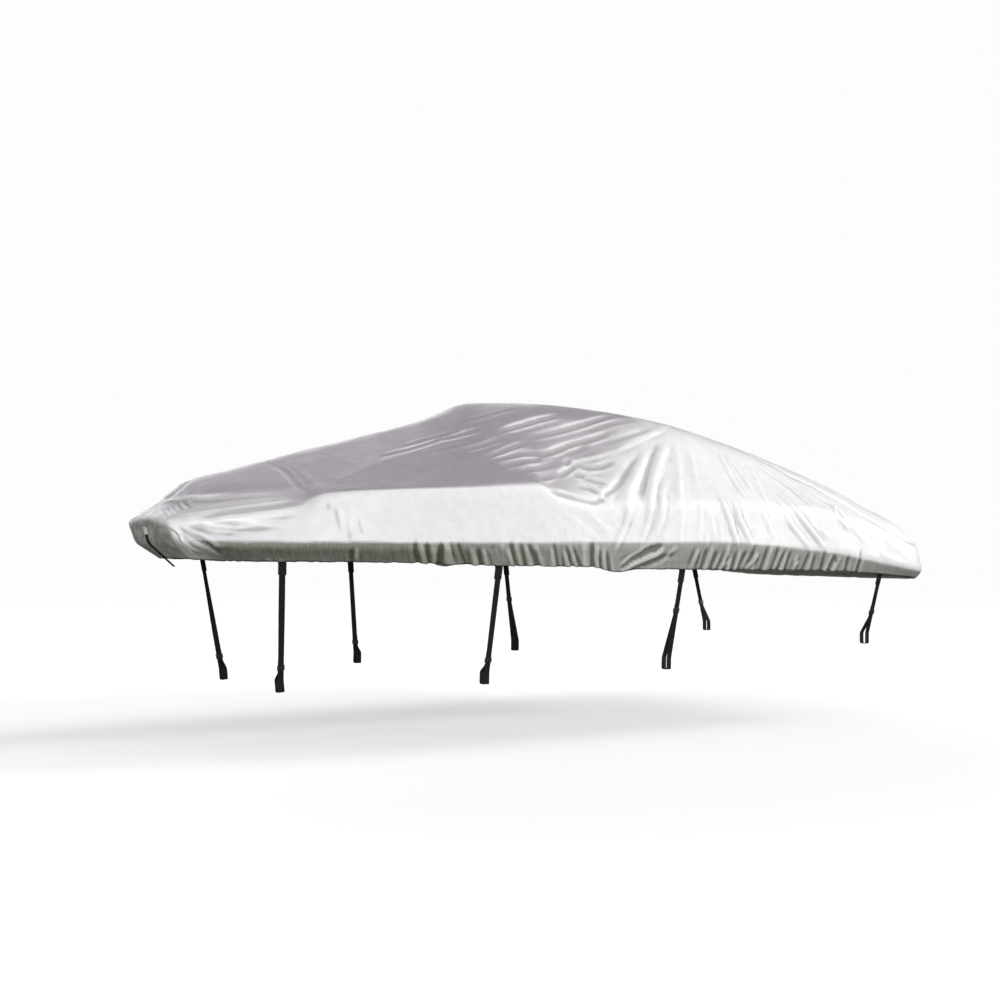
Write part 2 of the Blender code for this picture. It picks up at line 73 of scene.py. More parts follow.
class Wire:
    # an output of one shader node: sums and products of wires add Math nodes

    def __init__(self, tree, socket=None):
        self.tree = tree
        self.socket = socket

    def node(self, kind, settings=None, inputs=None, output=0):
        made = self.tree.nodes.new("ShaderNode" + kind)
        for name, value in (settings or {}).items():
            if name == "stops":
                ramp = made.color_ramp.elements
                while len(ramp) < len(value):
                    ramp.new(0.5)
                for stop, (place, colour) in zip(ramp, value):
                    stop.position = place
                    stop.color = colour
            else:
                setattr(made, name, value)
        for name, value in (inputs or {}).items():
            if isinstance(value, Wire):
                self.tree.links.new(value.socket, made.inputs[name])
            else:
                made.inputs[name].default_value = value
        return Wire(self.tree, made.outputs[output])

    def maths(self, operation, *values, held=False):
        settings = {"operation": operation, "use_clamp": held}
        return self.node("Math", settings, dict(enumerate(values)))

    def __add__(self, other):
        return self.maths("ADD", self, other)

    def __radd__(self, other):
        return self.maths("ADD", other, self)

    def __sub__(self, other):
        return self.maths("SUBTRACT", self, other)

    def __rsub__(self, other):
        return self.maths("SUBTRACT", other, self)

    def __mul__(self, other):
        return self.maths("MULTIPLY", self, other)

    def __rmul__(self, other):
        return self.maths("MULTIPLY", other, self)

    def size(self):
        return self.maths("ABSOLUTE", self)

    def wave(self):
        return self.maths("SINE", self)

    def highest(self, other):
        return self.maths("MAXIMUM", self, other)

    def held(self):
        # kept from 0 to 1
        return self.maths("ADD", self, 0.0, held=True)

    def between(self, low, high):
        # 0 at low, 1 at high, smooth on the way
        limits = {"From Min": low, "From Max": high, "Value": self}
        return self.node("MapRange", {"interpolation_type": "SMOOTHSTEP"}, limits)

    def blend(self, first, second):
        # a colour: first where this wire is 0, second where it is 1
        colours = {"Factor": self, 6: first, 7: second}
        return self.node("Mix", {"data_type": "RGBA"}, colours, output=2)

    def axis(self, which):
        return self.node("SeparateXYZ", None, {"Vector": self}, output="XYZ".index(which))

    def noise(self, scale, detail=3.0, roughness=0.55, distortion=0.0):
        inputs = {
            "Vector": self,
            "Scale": scale,
            "Detail": detail,
            "Roughness": roughness,
            "Distortion": distortion,
        }
        return self.node("TexNoise", None, inputs)

    def pattern(self, noise, low, high):
        # patches of noise, 0 below low and 1 above high
        return self.noise(*noise).between(low, high)

    def stretched(self, scale, turn=(0.0, 0.0, 0.0)):
        inputs = {"Vector": self, "Scale": scale, "Rotation": turn}
        return self.node("Mapping", None, inputs)

    def place(self):
        return self.node("TexCoord", output=3)

    def attribute(self, name, output=2):
        # a share that the mesh carries at each point, or with output 1 a place
        return self.node("Attribute", {"attribute_name": name}, output=output)


def newFinish(name, fixed):
    # a material with its Principled shader, and the wire that adds nodes to it
    made = bpy.data.materials.new(name)
    made.use_nodes = True
    shader = made.node_tree.nodes["Principled BSDF"]
    for socket, value in fixed.items():
        shader.inputs[socket].default_value = value
    return made, shader, Wire(made.node_tree)


def feed(wire, shader, socket):
    wire.tree.links.new(wire.socket, shader.inputs[socket])


def bumped(start, heights):
    # one Bump node for each (height, metres) pair, each on top of the one before it
    normal = None
    for height, distance in heights:
        inputs = {"Height": height, "Distance": distance, "Strength": 1.0}
        if normal:
            inputs["Normal"] = normal
        normal = start.node("Bump", None, inputs)
    return normal


silverCloth = {
    "metal": 0.12,
    "shine": 0.25,
    "clean": (0.705, 0.700, 0.708, 1.0),
    "pale": (0.745, 0.741, 0.748, 1.0),
    "paintedShade": (0.315, 0.292, 0.318, 1.0),  # painted shade where the cloth faces up and forward, away from the key light
    # dark olive of the painted shade under the lip and on the bow end, also used for random
    # mottling
    "shadeAndMottle": (0.090, 0.090, 0.060, 1.0),
    "mottled": 0.07,
    "paintedHighlight": (0.860, 0.856, 0.860, 1.0),  # painted highlight on the tops of the folds
    "highlightShare": 0.35,
    "highlightOnShade": 0.25,  # what the painted shade adds to that painted highlight
    "creaseShade": (0.300, 0.295, 0.300, 1.0),  # painted shade along their bottoms
    "creaseShadeShare": 0.62,
    # the band of painted shade under the lip, where the cloth turns under: heights are metres
    # above the lip, and a pair is a stretch along it in which something changes
    "bandTop": 0.040,
    "bandDrop": -0.035,
    "dropAlong": (4.2, 5.2),
    "bandFade": 0.030,
    "bandRagged": 0.012,
    "shadeAtBow": 0.35,
    "shadeGrowsAlong": (0.46, 0.66),
    "shadeAft": 0.67,
    "shadeForward": 0.26,
    "forwardAlong": (1.6, 3.4),
    # painted shade in the hollows of the gathers and painted highlight on their tops, inside the
    # band
    "inHollows": 0.24,
    "onTops": 0.22,
    # painted shade over the whole bow end, which faces forward, up to this girth
    "bowAlong": (0.36, 0.43),
    "bowGirth": (0.27, 0.32),
    "bowShade": 0.52,
    "bowPatches": 0.26,
    "bowTops": 0.30,
    "bandShare": 0.84,
    "bandStreaks": 0.08,
    "bandFine": 0.10,
    "foldReach": 0.80,  # how much a fold must stand out to count in full, and on the bow end
    "bowFoldReach": 0.50,
    "rough": 0.46,
    "glossSpread": 0.12,
    "bandRough": 0.10,
    "rubbedSmooth": 0.04,
    # noise as (scale, detail, roughness, distortion), with the low and high that it shows
    "patches": ((1.6, 3.0), 0.30, 0.70),
    "mottle": ((14.0, 4.0, 0.6), 0.35, 0.70),
    "streaks": ((1.0, 4.0, 0.6), 0.35, 0.75),
    "gloss": ((5.0, 4.0, 0.6), 0.25, 0.75),
    "softFold": ((9.0, 2.0, 0.5, 0.6), 0.30, 0.70),
    "fine": ((1.0, 3.0), 0.35, 0.65),
    "bowMottle": ((16.0, 4.0, 0.6), 0.32, 0.66),
    "crumple": (34.0, 3.0, 0.55, 0.9),
    "pucker": (1.0, 2.0),
    "streaksDrawn": (2.0, 9.0, 26.0),  # how much finer they are along each axis
    "fineDrawn": (70.0, 7.0, 1.0),
    "puckerDrawn": (90.0, 9.0, 1.0),
    "weavePitch": 0.0016,
    "hemSeam": 0.024,  # girth of the row of stitches that closes the hem
    "seamPucker": 0.030,
    "seamGroove": 0.0035,
    "gatheredAlong": (1.3, 1.7),
    "ungathered": 0.25,
    # how deep each kind of relief is, in metres
    "bumps": {"fold": 0.0014, "crumple": 0.0008, "pucker": 0.0025, "groove": 0.0012,
              "weave": 0.00005},
}


def paintedShadeShare(start, along, girth, low, streaks, rub):
    # painted shade: the band at the hem and the whole of the bow end
    look = silverCloth
    share = look["shadeAft"] + (1 - along.between(*look["forwardAlong"])) * look["shadeForward"]
    # painted shade in the hollows and painted highlight on the tops of the gathers
    hollows = (0 - rub).between(0.0, look["foldReach"]) * low * look["inHollows"]
    tops = rub.between(0.0, look["foldReach"]) * low * look["onTops"]
    fine = start.attribute("cut", 1).stretched(look["fineDrawn"]).pattern(*look["fine"])
    patches = start.place().pattern(*look["bowMottle"])
    bowEnd = (1 - along.between(*look["bowAlong"])) * (1 - girth.between(*look["bowGirth"]))
    # painted highlight: less painted shade on the tops of the folds at the bow end
    bowLitTops = rub.between(0.0, look["bowFoldReach"]) * look["bowTops"]
    bowEnd = bowEnd * (look["bowShade"] + patches * look["bowPatches"] - bowLitTops)
    uneven = look["bandShare"] + streaks * look["bandStreaks"] + fine * look["bandFine"]
    band = low * share * uneven
    return (band + hollows - tops).held().highest(bowEnd)


def makeSilverCloth():
    look = silverCloth
    fixed = {"Metallic": look["metal"], "Specular IOR Level": look["shine"]}
    made, shader, start = newFinish("silverCloth", fixed)
    place = start.place()
    # the cloth's own places: along the lip, girth up from the hem, height above the lip
    cut = start.attribute("cut", 1)
    along, girth, fromLip = [cut.axis(which) for which in "XYZ"]
    rub = start.attribute("rub")  # from -1 in a crease to 1 on top of a fold
    # the share of painted shade on cloth that faces up and forward
    sky = start.attribute("sky")

    patches = place.pattern(*look["patches"])
    mottle = place.pattern(*look["mottle"])
    streaks = place.stretched(look["streaksDrawn"]).pattern(*look["streaks"])
    cloth = patches.blend(look["clean"], look["pale"])
    # painted shade on the cloth that faces up, away from the key light
    cloth = sky.blend(cloth, look["paintedShade"])
    cloth = (mottle * look["mottled"]).blend(cloth, look["shadeAndMottle"])
    # painted highlight on the tops of folds, stronger under the painted shade, and painted shade
    # along creases
    paintedHighlight = rub.between(0.0, 1.0) * (look["highlightShare"] + sky * look["highlightOnShade"])
    cloth = paintedHighlight.blend(cloth, look["paintedHighlight"])
    creaseShade = (0 - rub).between(0.0, 1.0) * look["creaseShadeShare"]
    cloth = creaseShade.blend(cloth, look["creaseShade"])
    # the band of painted shade under the lip, weaker towards the bow
    top = look["bandTop"] + along.between(*look["dropAlong"]) * look["bandDrop"]
    reach = fromLip + (streaks - 0.5) * look["bandRagged"] - top
    low = 1 - reach.between(-look["bandFade"], 0.0)
    atBow = look["shadeAtBow"]
    low = low * (atBow + (1 - atBow) * along.between(*look["shadeGrowsAlong"]))
    # painted shade on the hem band and the bow end
    lowAndBowShade = paintedShadeShare(start, along, girth, low, streaks, rub)
    feed(lowAndBowShade.blend(cloth, look["shadeAndMottle"]), shader, "Base Color")

    gloss = place.pattern(*look["gloss"]) * look["glossSpread"]
    rough = look["rough"] + gloss + low * look["bandRough"] - rub * look["rubbedSmooth"]
    feed(rough, shader, "Roughness")

    fold = place.pattern(*look["softFold"])
    crumple = place.noise(*look["crumple"])
    turn = 2 * math.pi / look["weavePitch"]
    weave = (along * turn).wave() * (girth * turn).wave()
    fromSeam = (girth - look["hemSeam"]).size()
    nearSeam = 1 - fromSeam.between(0.0, look["seamPucker"])
    flat = look["ungathered"]
    gathered = low * (flat + (1 - flat) * along.between(*look["gatheredAlong"]))
    pucker = cut.stretched(look["puckerDrawn"]).noise(*look["pucker"])
    pucker = pucker * gathered.highest(nearSeam)
    groove = fromSeam.between(0.0, look["seamGroove"])
    reliefs = {"fold": fold, "crumple": crumple, "pucker": pucker, "groove": groove,
               "weave": weave}
    heights = [(relief, look["bumps"][name]) for name, relief in reliefs.items()]
    feed(bumped(start, heights), shader, "Normal")
    return made


blackWebbing = {
    "shine": 0.22,
    "black": (0.0045, 0.0045, 0.0050, 1.0),
    "dusty": (0.0260, 0.0250, 0.0240, 1.0),
    "rib": 0.0026,
    "yarn": 0.0020,
    "slant": 0.0075,
    "steepness": 0.9,
    "shares": (0.6, 0.4),  # of the ribs and of the slant in the weave
    "dust": ((22.0, 5.0, 0.65), 0.40, 0.80),
    "shade": {"dust": 0.25, "edge": 0.22, "weave": 0.07, "least": 0.03},
    "rough": 0.62,
    "dustRough": 0.22,
    "edge": (0.0150, 0.0190),  # how far from the middle the dusty edge starts and is full
    "bumps": (0.00045, 0.0004),  # of the weave and of the dust
}


def makeBlackWebbing():
    look = blackWebbing
    made, shader, start = newFinish("blackWebbing", {"Specular IOR Level": look["shine"]})
    cut = start.attribute("cut", 1)  # here across and along the band
    place = start.place()
    across = cut.axis("X")
    along = cut.axis("Y")
    ribs = (along * (2 * math.pi / look["rib"])).wave()
    yarns = (across * (2 * math.pi / look["yarn"])).wave()
    slanted = along + across.size() * look["steepness"]
    slant = (slanted * (2 * math.pi / look["slant"])).wave()
    ribShare, slantShare = look["shares"]
    weave = ribs * yarns * ribShare + slant * slantShare
    dust = place.pattern(*look["dust"])
    edge = across.size().between(*look["edge"])
    part = look["shade"]
    shade = dust * part["dust"] + edge * part["edge"] + weave * part["weave"] + part["least"]
    feed(shade.held().blend(look["black"], look["dusty"]), shader, "Base Color")
    feed(look["rough"] + dust * look["dustRough"], shader, "Roughness")
    feed(bumped(start, zip((weave, dust), look["bumps"])), shader, "Normal")
    return made


blackPlastic = {
    "shine": 0.5,
    "black": (0.014, 0.014, 0.015, 1.0),
    "bowLitTops": (0.075, 0.073, 0.070, 1.0),
    "grain": (900.0, 3.0, 0.6),
    "scuff": ((60.0, 5.0, 0.7), 0.52, 0.78),
    "scuffed": 0.5,
    "rough": 0.34,
    "roughSpread": (0.25, 0.08),  # by the scuffs and by the grain
    "bumps": (0.00012, 0.0001),  # of the grain and of the scuffs
}


def makeBlackPlastic():
    look = blackPlastic
    made, shader, start = newFinish("blackPlastic", {"Specular IOR Level": look["shine"]})
    place = start.place()
    grain = place.noise(*look["grain"])
    scuff = place.pattern(*look["scuff"])
    feed((scuff * look["scuffed"]).blend(look["black"], look["bowLitTops"]), shader, "Base Color")
    byScuff, byGrain = look["roughSpread"]
    feed(look["rough"] + scuff * byScuff + grain * byGrain, shader, "Roughness")
    feed(bumped(start, zip((grain, scuff), look["bumps"])), shader, "Normal")
    return made


thread = {
    "shine": 0.4,
    "lay": (700.0, 700.0, 1120.0),  # how fine its twist is
    "turn": (0.4, 0.6, 0.3),
    "noise": (1.0, 2.0),
    "shown": (0.3, 0.7),
    "rough": 0.50,
    "roughSpread": 0.2,
    "bump": 0.0003,
    "grey": ((0.34, 0.33, 0.34, 1), (0.52, 0.51, 0.52, 1)),
    "black": ((0.03, 0.03, 0.03, 1), (0.10, 0.10, 0.10, 1)),
}


def makeThread(colour):
    made, shader, start = newFinish(colour + "Thread", {"Specular IOR Level": thread["shine"]})
    twist = start.place().stretched(thread["lay"], thread["turn"]).noise(*thread["noise"])
    feed(twist.between(*thread["shown"]).blend(*thread[colour]), shader, "Base Color")
    feed(thread["rough"] + twist * thread["roughSpread"], shader, "Roughness")
    feed(bumped(start, [(twist, thread["bump"])]), shader, "Normal")
    return made


finishes = {
    "cloth": makeSilverCloth(),
    "webbing": makeBlackWebbing(),
    "plastic": makeBlackPlastic(),
    "greyThread": makeThread("grey"),
    "blackThread": makeThread("black"),
}
print("finishes made")

cover = {
    # along, aft, out and up in millimetres. Along is measured round the lip, where the
    # cloth turns under, from the bow's middle to the stern's
    "hem": (
        (0, 110, 0, 1148), (220, 125, 150, 1150), (420, 175, 305, 1146), (700, 330, 490, 1138),
        (1100, 600, 700, 1134), (1800, 1230, 930, 1127), (2450, 1860, 1060, 1104),
        (3100, 2500, 1105, 1090), (3270, 2660, 1115, 1056), (3450, 2840, 1112, 1074),
        (4000, 3380, 1115, 1064), (5000, 4380, 1100, 1048), (5600, 4980, 1070, 1020),
        (5950, 5385, 1025, 985), (6150, 5490, 915, 970), (6600, 5530, 450, 965),
        (7050, 5535, 0, 965),
    ),
    "lip": (
        (0, 0, 0, 1245), (240, 5, 240, 1245), (420, 50, 410, 1243), (600, 165, 540, 1233),
        (900, 370, 690, 1223), (1300, 700, 860, 1222), (1800, 1170, 1000, 1218),
        (2450, 1800, 1110, 1216), (3100, 2440, 1155, 1218), (4000, 3340, 1170, 1220),
        (5000, 4340, 1155, 1186), (5600, 4940, 1130, 1105), (5950, 5370, 1090, 1040),
        (6150, 5505, 975, 1025), (6600, 5555, 480, 1020), (7050, 5565, 0, 1020),
    ),
    "edge": (
        (0, -30, 0, 1390), (240, -30, 230, 1390), (420, -18, 365, 1386), (600, 140, 470, 1402),
        (900, 400, 620, 1442), (1180, 680, 750, 1485), (1320, 810, 815, 1538),
        (1800, 1210, 955, 1563), (2300, 1650, 1035, 1579), (2740, 2090, 1075, 1596),
        (2920, 2260, 1095, 1530), (3150, 2480, 1110, 1492), (4000, 3340, 1125, 1494),
        (5000, 4340, 1110, 1462), (5600, 4930, 1090, 1350), (5950, 5345, 1060, 1235),
        (6150, 5475, 945, 1220), (6600, 5530, 470, 1235), (7050, 5545, 0, 1245),
    ),
    "shoulder": (
        (0, 65, 0, 1465), (240, 70, 140, 1465), (420, 110, 210, 1480), (600, 220, 290, 1545),
        (900, 440, 430, 1568), (1180, 700, 550, 1585), (1400, 920, 560, 1652),
        (1800, 1300, 500, 1768), (2300, 1780, 420, 1910), (2740, 2200, 380, 2080),
        (3200, 2720, 350, 2172), (3600, 3080, 430, 2140), (4100, 3530, 550, 2067),
        (4600, 4000, 610, 1945), (5000, 4350, 680, 1825), (5600, 4880, 800, 1610),
        (5950, 5200, 920, 1430), (6150, 5380, 780, 1400), (6600, 5460, 400, 1545),
        (7050, 5490, 0, 1600),
    ),
    "ridge": (
        (0, 140, 0, 1525), (240, 185, 0, 1570), (420, 220, 0, 1610), (600, 270, 0, 1652),
        (900, 500, 0, 1716), (1300, 860, 0, 1815), (1800, 1320, 0, 1934), (2150, 1680, 0, 2028),
        (2350, 1870, 0, 2082), (2520, 2040, 0, 2148), (2700, 2210, 0, 2212),
        (2850, 2360, 0, 2216), (3090, 2600, 0, 2214), (3600, 3080, 0, 2190),
        (4100, 3530, 0, 2130), (4600, 4000, 0, 2035), (5000, 4360, 0, 1950),
        (5600, 4850, 0, 1815), (6000, 5130, 0, 1740), (6500, 5300, 0, 1695),
        (7050, 5420, 0, 1660),
    ),
    # how far each bend starts from its line
    "lipBend": 0.035,
    "edgeBend": 0.045,
    "shoulderBend": 0.180,
    "ridgeBend": 0.140,
    "longestBend": 0.45,  # share of the leg
    # last along of each stretch of columns and the width of a cell in it
    "columns": ((0.80, 0.0095), (2.20, 0.0140), (5.60, 0.0140), (7.05, 0.0300)),
    # cells from the hem up: to the lip, round it, up the side, round the edge, up the
    # slope, round the shoulder, over the top and up to the ridge
    "cells": (9, 4, 13, 4, 38, 20, 6, 5),
    "flat": (4.10, 6.20),
    "cutArea": 18.9,
    "tautCentre": 0.080,
    # the starboard side has the port side's folds a little aft and weaker, each in its own way
    "starboardShift": 0.060,
    "starboardDrift": (-0.05, 0.05),
    "starboardShare": 0.80,
    "starboardSpread": (0.6, 1.2),
    "foldUneven": 0.30,
    "foldHumps": (48, 14),
    "unevenness": (((58, 17), 40, 0.0006), ((150, 40), 50, 0.0003)),  # humps, seed, depth
    "sharpFold": 0.0019,
}

# where the random draws start
seeds = {"drift": 31, "uneven": 70, "faint": 21, "hemWave": 60, "paintedShade": 80}

foldEnds = {
    "fade": (-0.12, 0.26),  # shares of a fold's length in which it fades in and out
    "margin": 0.04,
    "bulge": 0.05,
}

# Folds on the port side: depth, reach on the left and on the right of the line, then its points
# as (aft, out, up). All in millimetres, and a minus depth is a trough.
folds = (
    # creases that run up the forward slope
    (-8, 14, 19, (1503, 395, 1847), (1674, 369, 1892), (1805, 370, 1925), (1914, 399, 1956)),
    (-13, 14, 19, (1321, 476, 1778), (1507, 456, 1825), (1782, 412, 1899), (1889, 445, 1927),
     (2063, 478, 1976)),
    (-7, 14, 19, (2008, 313, 2030), (2140, 347, 2066), (2418, 296, 2134)),
    (-17, 14, 19, (2157, 547, 1956), (2332, 498, 1998), (2512, 460, 2047), (2671, 435, 2082)),
    (-8, 14, 19, (1843, 629, 1826), (1973, 632, 1862), (2149, 611, 1913)),
    (-14.5, 14, 19, (2337, 613, 1913), (2578, 565, 1963), (2698, 540, 1999), (2987, 473, 2065),
     (3195, 415, 2108)),
    (-8, 14, 19, (1911, 762, 1765), (2096, 723, 1829), (2281, 667, 1876)),
    (-14.5, 14, 19, (2313, 773, 1795), (2608, 675, 1873), (2791, 639, 1920), (2960, 607, 1961)),
    (-8, 14, 19, (1913, 796, 1745), (2116, 787, 1789), (2372, 739, 1817)),
    (-10.5, 14, 19, (2531, 744, 1815), (2632, 722, 1838), (2764, 678, 1884)),
    (-8, 14, 19, (1949, 881, 1705), (2107, 862, 1741), (2294, 802, 1774)),
    (-8, 14, 19, (2050, 955, 1674), (2239, 888, 1712), (2418, 822, 1750)),
    (-14.5, 14, 19, (2368, 922, 1666), (2542, 833, 1734)),
    (-8, 14, 19, (2166, 1002, 1637), (2392, 908, 1676)),
    (-7, 14, 19, (2793, 577, 1974), (3032, 527, 2033), (3319, 479, 2081)),
    (-7, 14, 19, (2838, 687, 1883), (3075, 640, 1946), (3320, 592, 2005)),
    (-4, 14, 19, (1561, 555, 1793), (1776, 555, 1844), (1914, 569, 1879)),
    (-3.5, 40, 44, (1110, 902, 1563), (1515, 771, 1690), (1863, 658, 1816)),
    (-2.5, 44, 44, (1483, 958, 1598), (1817, 862, 1693), (2033, 803, 1763)),
    (3.5, 40, 44, (882, 694, 1595), (1211, 561, 1722), (1445, 507, 1792)),
    # the soft edge where the forward slope turns into the side
    (7, 31, 18, (3618, 439, 2053), (3401, 598, 2001), (3184, 662, 1935), (2973, 726, 1858),
     (2780, 771, 1804), (2558, 808, 1758), (2373, 914, 1673), (2155, 1042, 1608)),
    # crumpled patch below that edge
    (-16.5, 13, 17, (2585, 859, 1705), (2730, 854, 1734), (2871, 813, 1772)),
    (-13, 13, 13, (2467, 829, 1742), (2529, 805, 1764)),
    (-15, 13, 14, (2488, 901, 1669), (2561, 907, 1658)),
    (-16.5, 13, 14, (2454, 986, 1596), (2529, 999, 1584), (2573, 1035, 1559)),
    (11.5, 13, 13, (2559, 954, 1624), (2587, 993, 1598), (2606, 1032, 1566)),
    (-13, 13, 13, (2553, 930, 1638), (2621, 955, 1638), (2693, 975, 1626)),
    (-15, 13, 15, (2789, 961, 1622), (2703, 1015, 1580), (2618, 1059, 1540)),
    (11.5, 13, 13, (2641, 1016, 1586), (2582, 1056, 1539)),
    (-16.5, 15, 20, (2208, 1075, 1558), (2311, 1076, 1535), (2409, 1087, 1511),
     (2492, 1097, 1496), (2601, 1095, 1501)),
    (9, 13, 14, (2525, 857, 1710), (2623, 885, 1698), (2736, 879, 1714)),
    (-9, 13, 13, (2546, 1063, 1532), (2586, 1082, 1513)),
    # fan that hangs from the shoulder
    (16, 40, 41, (3379, 695, 1919), (3259, 785, 1817), (3148, 878, 1710), (3048, 979, 1613),
     (2948, 1081, 1518), (2925, 1122, 1440)),
    (6, 14, 11, (2948, 1081, 1518), (2925, 1122, 1440), (2901, 1133, 1363), (2849, 1150, 1280),
     (2820, 1158, 1223)),
    (-9, 27, 32, (3289, 712, 1889), (3169, 794, 1794), (3057, 890, 1695), (2960, 988, 1598),
     (2890, 1072, 1518)),
    (16, 40, 47, (3203, 749, 1844), (3095, 806, 1778), (2968, 901, 1679), (2836, 1006, 1583),
     (2757, 1104, 1490), (2757, 1126, 1413)),
    (7, 16, 13, (2757, 1104, 1490), (2757, 1126, 1413), (2717, 1138, 1337), (2663, 1148, 1261),
     (2631, 1150, 1192)),
    (-9, 25, 32, (3101, 775, 1813), (2987, 830, 1748), (2856, 912, 1663), (2728, 1024, 1568),
     (2663, 1094, 1502)),
    (8, 23, 23, (3169, 970, 1642), (3073, 1054, 1559), (3031, 1120, 1480), (3008, 1139, 1389),
     (2959, 1151, 1312), (2896, 1161, 1223)),
    (6, 32, 27, (3447, 717, 1900), (3340, 888, 1728), (3229, 1041, 1575), (3164, 1125, 1468)),
    (4, 23, 22, (3561, 725, 1889), (3469, 885, 1731), (3376, 1034, 1577)),
    (3.5, 18, 14, (3173, 1135, 1429), (3152, 1151, 1325), (3142, 1164, 1228)),
    (3, 16, 13, (3354, 1094, 1523), (3317, 1140, 1378), (3297, 1165, 1228)),
    (3, 16, 13, (3410, 1137, 1418), (3423, 1152, 1326), (3438, 1165, 1241)),
    (2.5, 16, 13, (3495, 1137, 1418), (3480, 1154, 1313), (3480, 1165, 1227)),
    (3.5, 11, 10, (3362, 1156, 1306), (3362, 1166, 1221)),
    # faint slants on the side, forward of the fan
    (-2.5, 18, 18, (2305, 1107, 1454), (2443, 1125, 1355), (2580, 1146, 1255)),
    (2.5, 13, 16, (2376, 1101, 1485), (2504, 1124, 1386), (2617, 1137, 1286)),
    # long creases down the aft side
    (8.5, 17, 9, (3814, 737, 1848), (3795, 846, 1740), (3774, 976, 1619), (3773, 1070, 1529)),
    (7, 17, 9, (3874, 729, 1850), (3892, 814, 1764), (3903, 896, 1685), (3882, 1024, 1565)),
    (11.5, 17, 9, (3544, 1057, 1559), (3548, 1124, 1472), (3577, 1140, 1392), (3598, 1155, 1300),
     (3625, 1164, 1220)),
    (11.5, 17, 9, (3638, 1086, 1527), (3656, 1138, 1400), (3701, 1145, 1320), (3740, 1160, 1227)),
    (5, 14, 9, (4040, 788, 1775), (4019, 886, 1688), (3994, 998, 1588)),
    (5, 14, 9, (3994, 905, 1673), (3966, 999, 1587), (3940, 1101, 1490)),
    (11, 16, 9, (4073, 1121, 1430), (4125, 1133, 1355), (4190, 1141, 1287), (4272, 1151, 1198)),
    (6.5, 13, 9, (3851, 1112, 1475), (3901, 1135, 1381), (3955, 1154, 1260)),
    (12, 17, 9, (4073, 917, 1653), (4126, 980, 1577), (4158, 1036, 1528), (4171, 1093, 1479),
     (4208, 1112, 1424), (4267, 1116, 1356), (4326, 1132, 1294), (4383, 1140, 1232),
     (4432, 1147, 1183)),
    (12, 17, 9, (4113, 745, 1800), (4157, 799, 1750), (4244, 868, 1665), (4290, 930, 1608),
     (4329, 998, 1551), (4358, 1048, 1502), (4425, 1085, 1453)),
    (7, 14, 9, (4049, 986, 1589), (4066, 1048, 1526), (4091, 1112, 1450)),
    (11, 14, 9, (4447, 890, 1626), (4504, 940, 1569), (4564, 977, 1527), (4604, 1015, 1491),
     (4674, 1041, 1456)),
    (9, 13, 9, (4624, 984, 1506), (4573, 1087, 1434), (4611, 1107, 1378), (4680, 1113, 1322)),
    (6.5, 12, 9, (4388, 1125, 1342), (4447, 1131, 1273)),
    (5, 13, 10, (5109, 1093, 1237), (5228, 1094, 1150), (5311, 1091, 1092)),
    (5, 14, 10, (4637, 1099, 1399), (4731, 1110, 1322), (4838, 1118, 1224)),
    (6.5, 17, 17, (4962, 1112, 1202), (5075, 1116, 1116)),
    # shoulder crease, aft
    (-10.5, 18, 19, (4049, 562, 1920), (4105, 626, 1883), (4167, 660, 1847), (4256, 708, 1798),
     (4344, 755, 1749), (4388, 811, 1705), (4483, 830, 1671), (4594, 864, 1622),
     (4658, 897, 1579), (4748, 914, 1544), (4813, 947, 1502), (4885, 993, 1444),
     (4972, 1023, 1395), (5071, 1053, 1337), (5204, 1049, 1294), (5289, 1064, 1237),
     (5450, 999, 1185)),
    (5, 14, 13, (4539, 748, 1710), (4654, 779, 1661), (4775, 804, 1612), (4891, 887, 1525)),
    # pinch and slanted puckers in the hem
    (-20.5, 14, 17, (2720, 1123, 1096), (2785, 1140, 1147), (2884, 1156, 1197),
     (2974, 1163, 1222)),
    (19.5, 12, 12, (2696, 1113, 1065), (2780, 1126, 1102), (2876, 1135, 1140), (2955, 1146, 1165),
     (3001, 1159, 1203)),
    (11.5, 10, 10, (2687, 1125, 1109), (2768, 1142, 1153), (2861, 1155, 1197)),
    (-9, 14, 14, (2886, 1121, 1101), (3005, 1143, 1145), (3108, 1155, 1183)),
    (8, 12, 14, (3026, 1136, 1132), (3062, 1152, 1177), (3110, 1163, 1216)),
    (7, 10, 12, (3269, 1127, 1104), (3284, 1160, 1195)),
    (11.5, 11, 12, (3718, 1115, 1066), (3756, 1131, 1113), (3801, 1150, 1166)),
    (8, 10, 10, (3517, 1120, 1082), (3561, 1139, 1128)),
    (7, 10, 10, (4144, 1112, 1082), (4185, 1127, 1116)),
    (-7, 10, 10, (4482, 1143, 1162), (4546, 1116, 1099)),
    (8, 10, 10, (489, 663, 1158), (537, 668, 1140)),
    # bow corner, its streaks and the scallops above it
    (15.5, 12, 13, (-4, 343, 1373), (48, 404, 1315), (74, 431, 1268), (115, 436, 1222),
     (165, 414, 1186)),
    (-19, 10, 10, (12, 366, 1344), (57, 413, 1292), (94, 427, 1233), (138, 405, 1198)),
    (15.5, 10, 10, (57, 412, 1297), (97, 452, 1251), (173, 444, 1192)),
    (-25.5, 13, 18, (61, 418, 1332), (102, 457, 1297), (145, 504, 1263), (200, 536, 1222),
     (254, 522, 1187)),
    (15.5, 15, 18, (83, 440, 1321), (147, 498, 1297), (248, 587, 1228)),
    (-19, 24, 26, (40, 391, 1362), (150, 491, 1347), (342, 628, 1332), (523, 731, 1332)),
    (-15, 20, 22, (83, 441, 1332), (218, 555, 1306), (338, 640, 1297)),
    (-10, 18, 19, (319, 562, 1420), (461, 641, 1443), (677, 753, 1467)),
    (-5, 22, 24, (330, 600, 1372), (490, 691, 1385), (650, 764, 1404)),
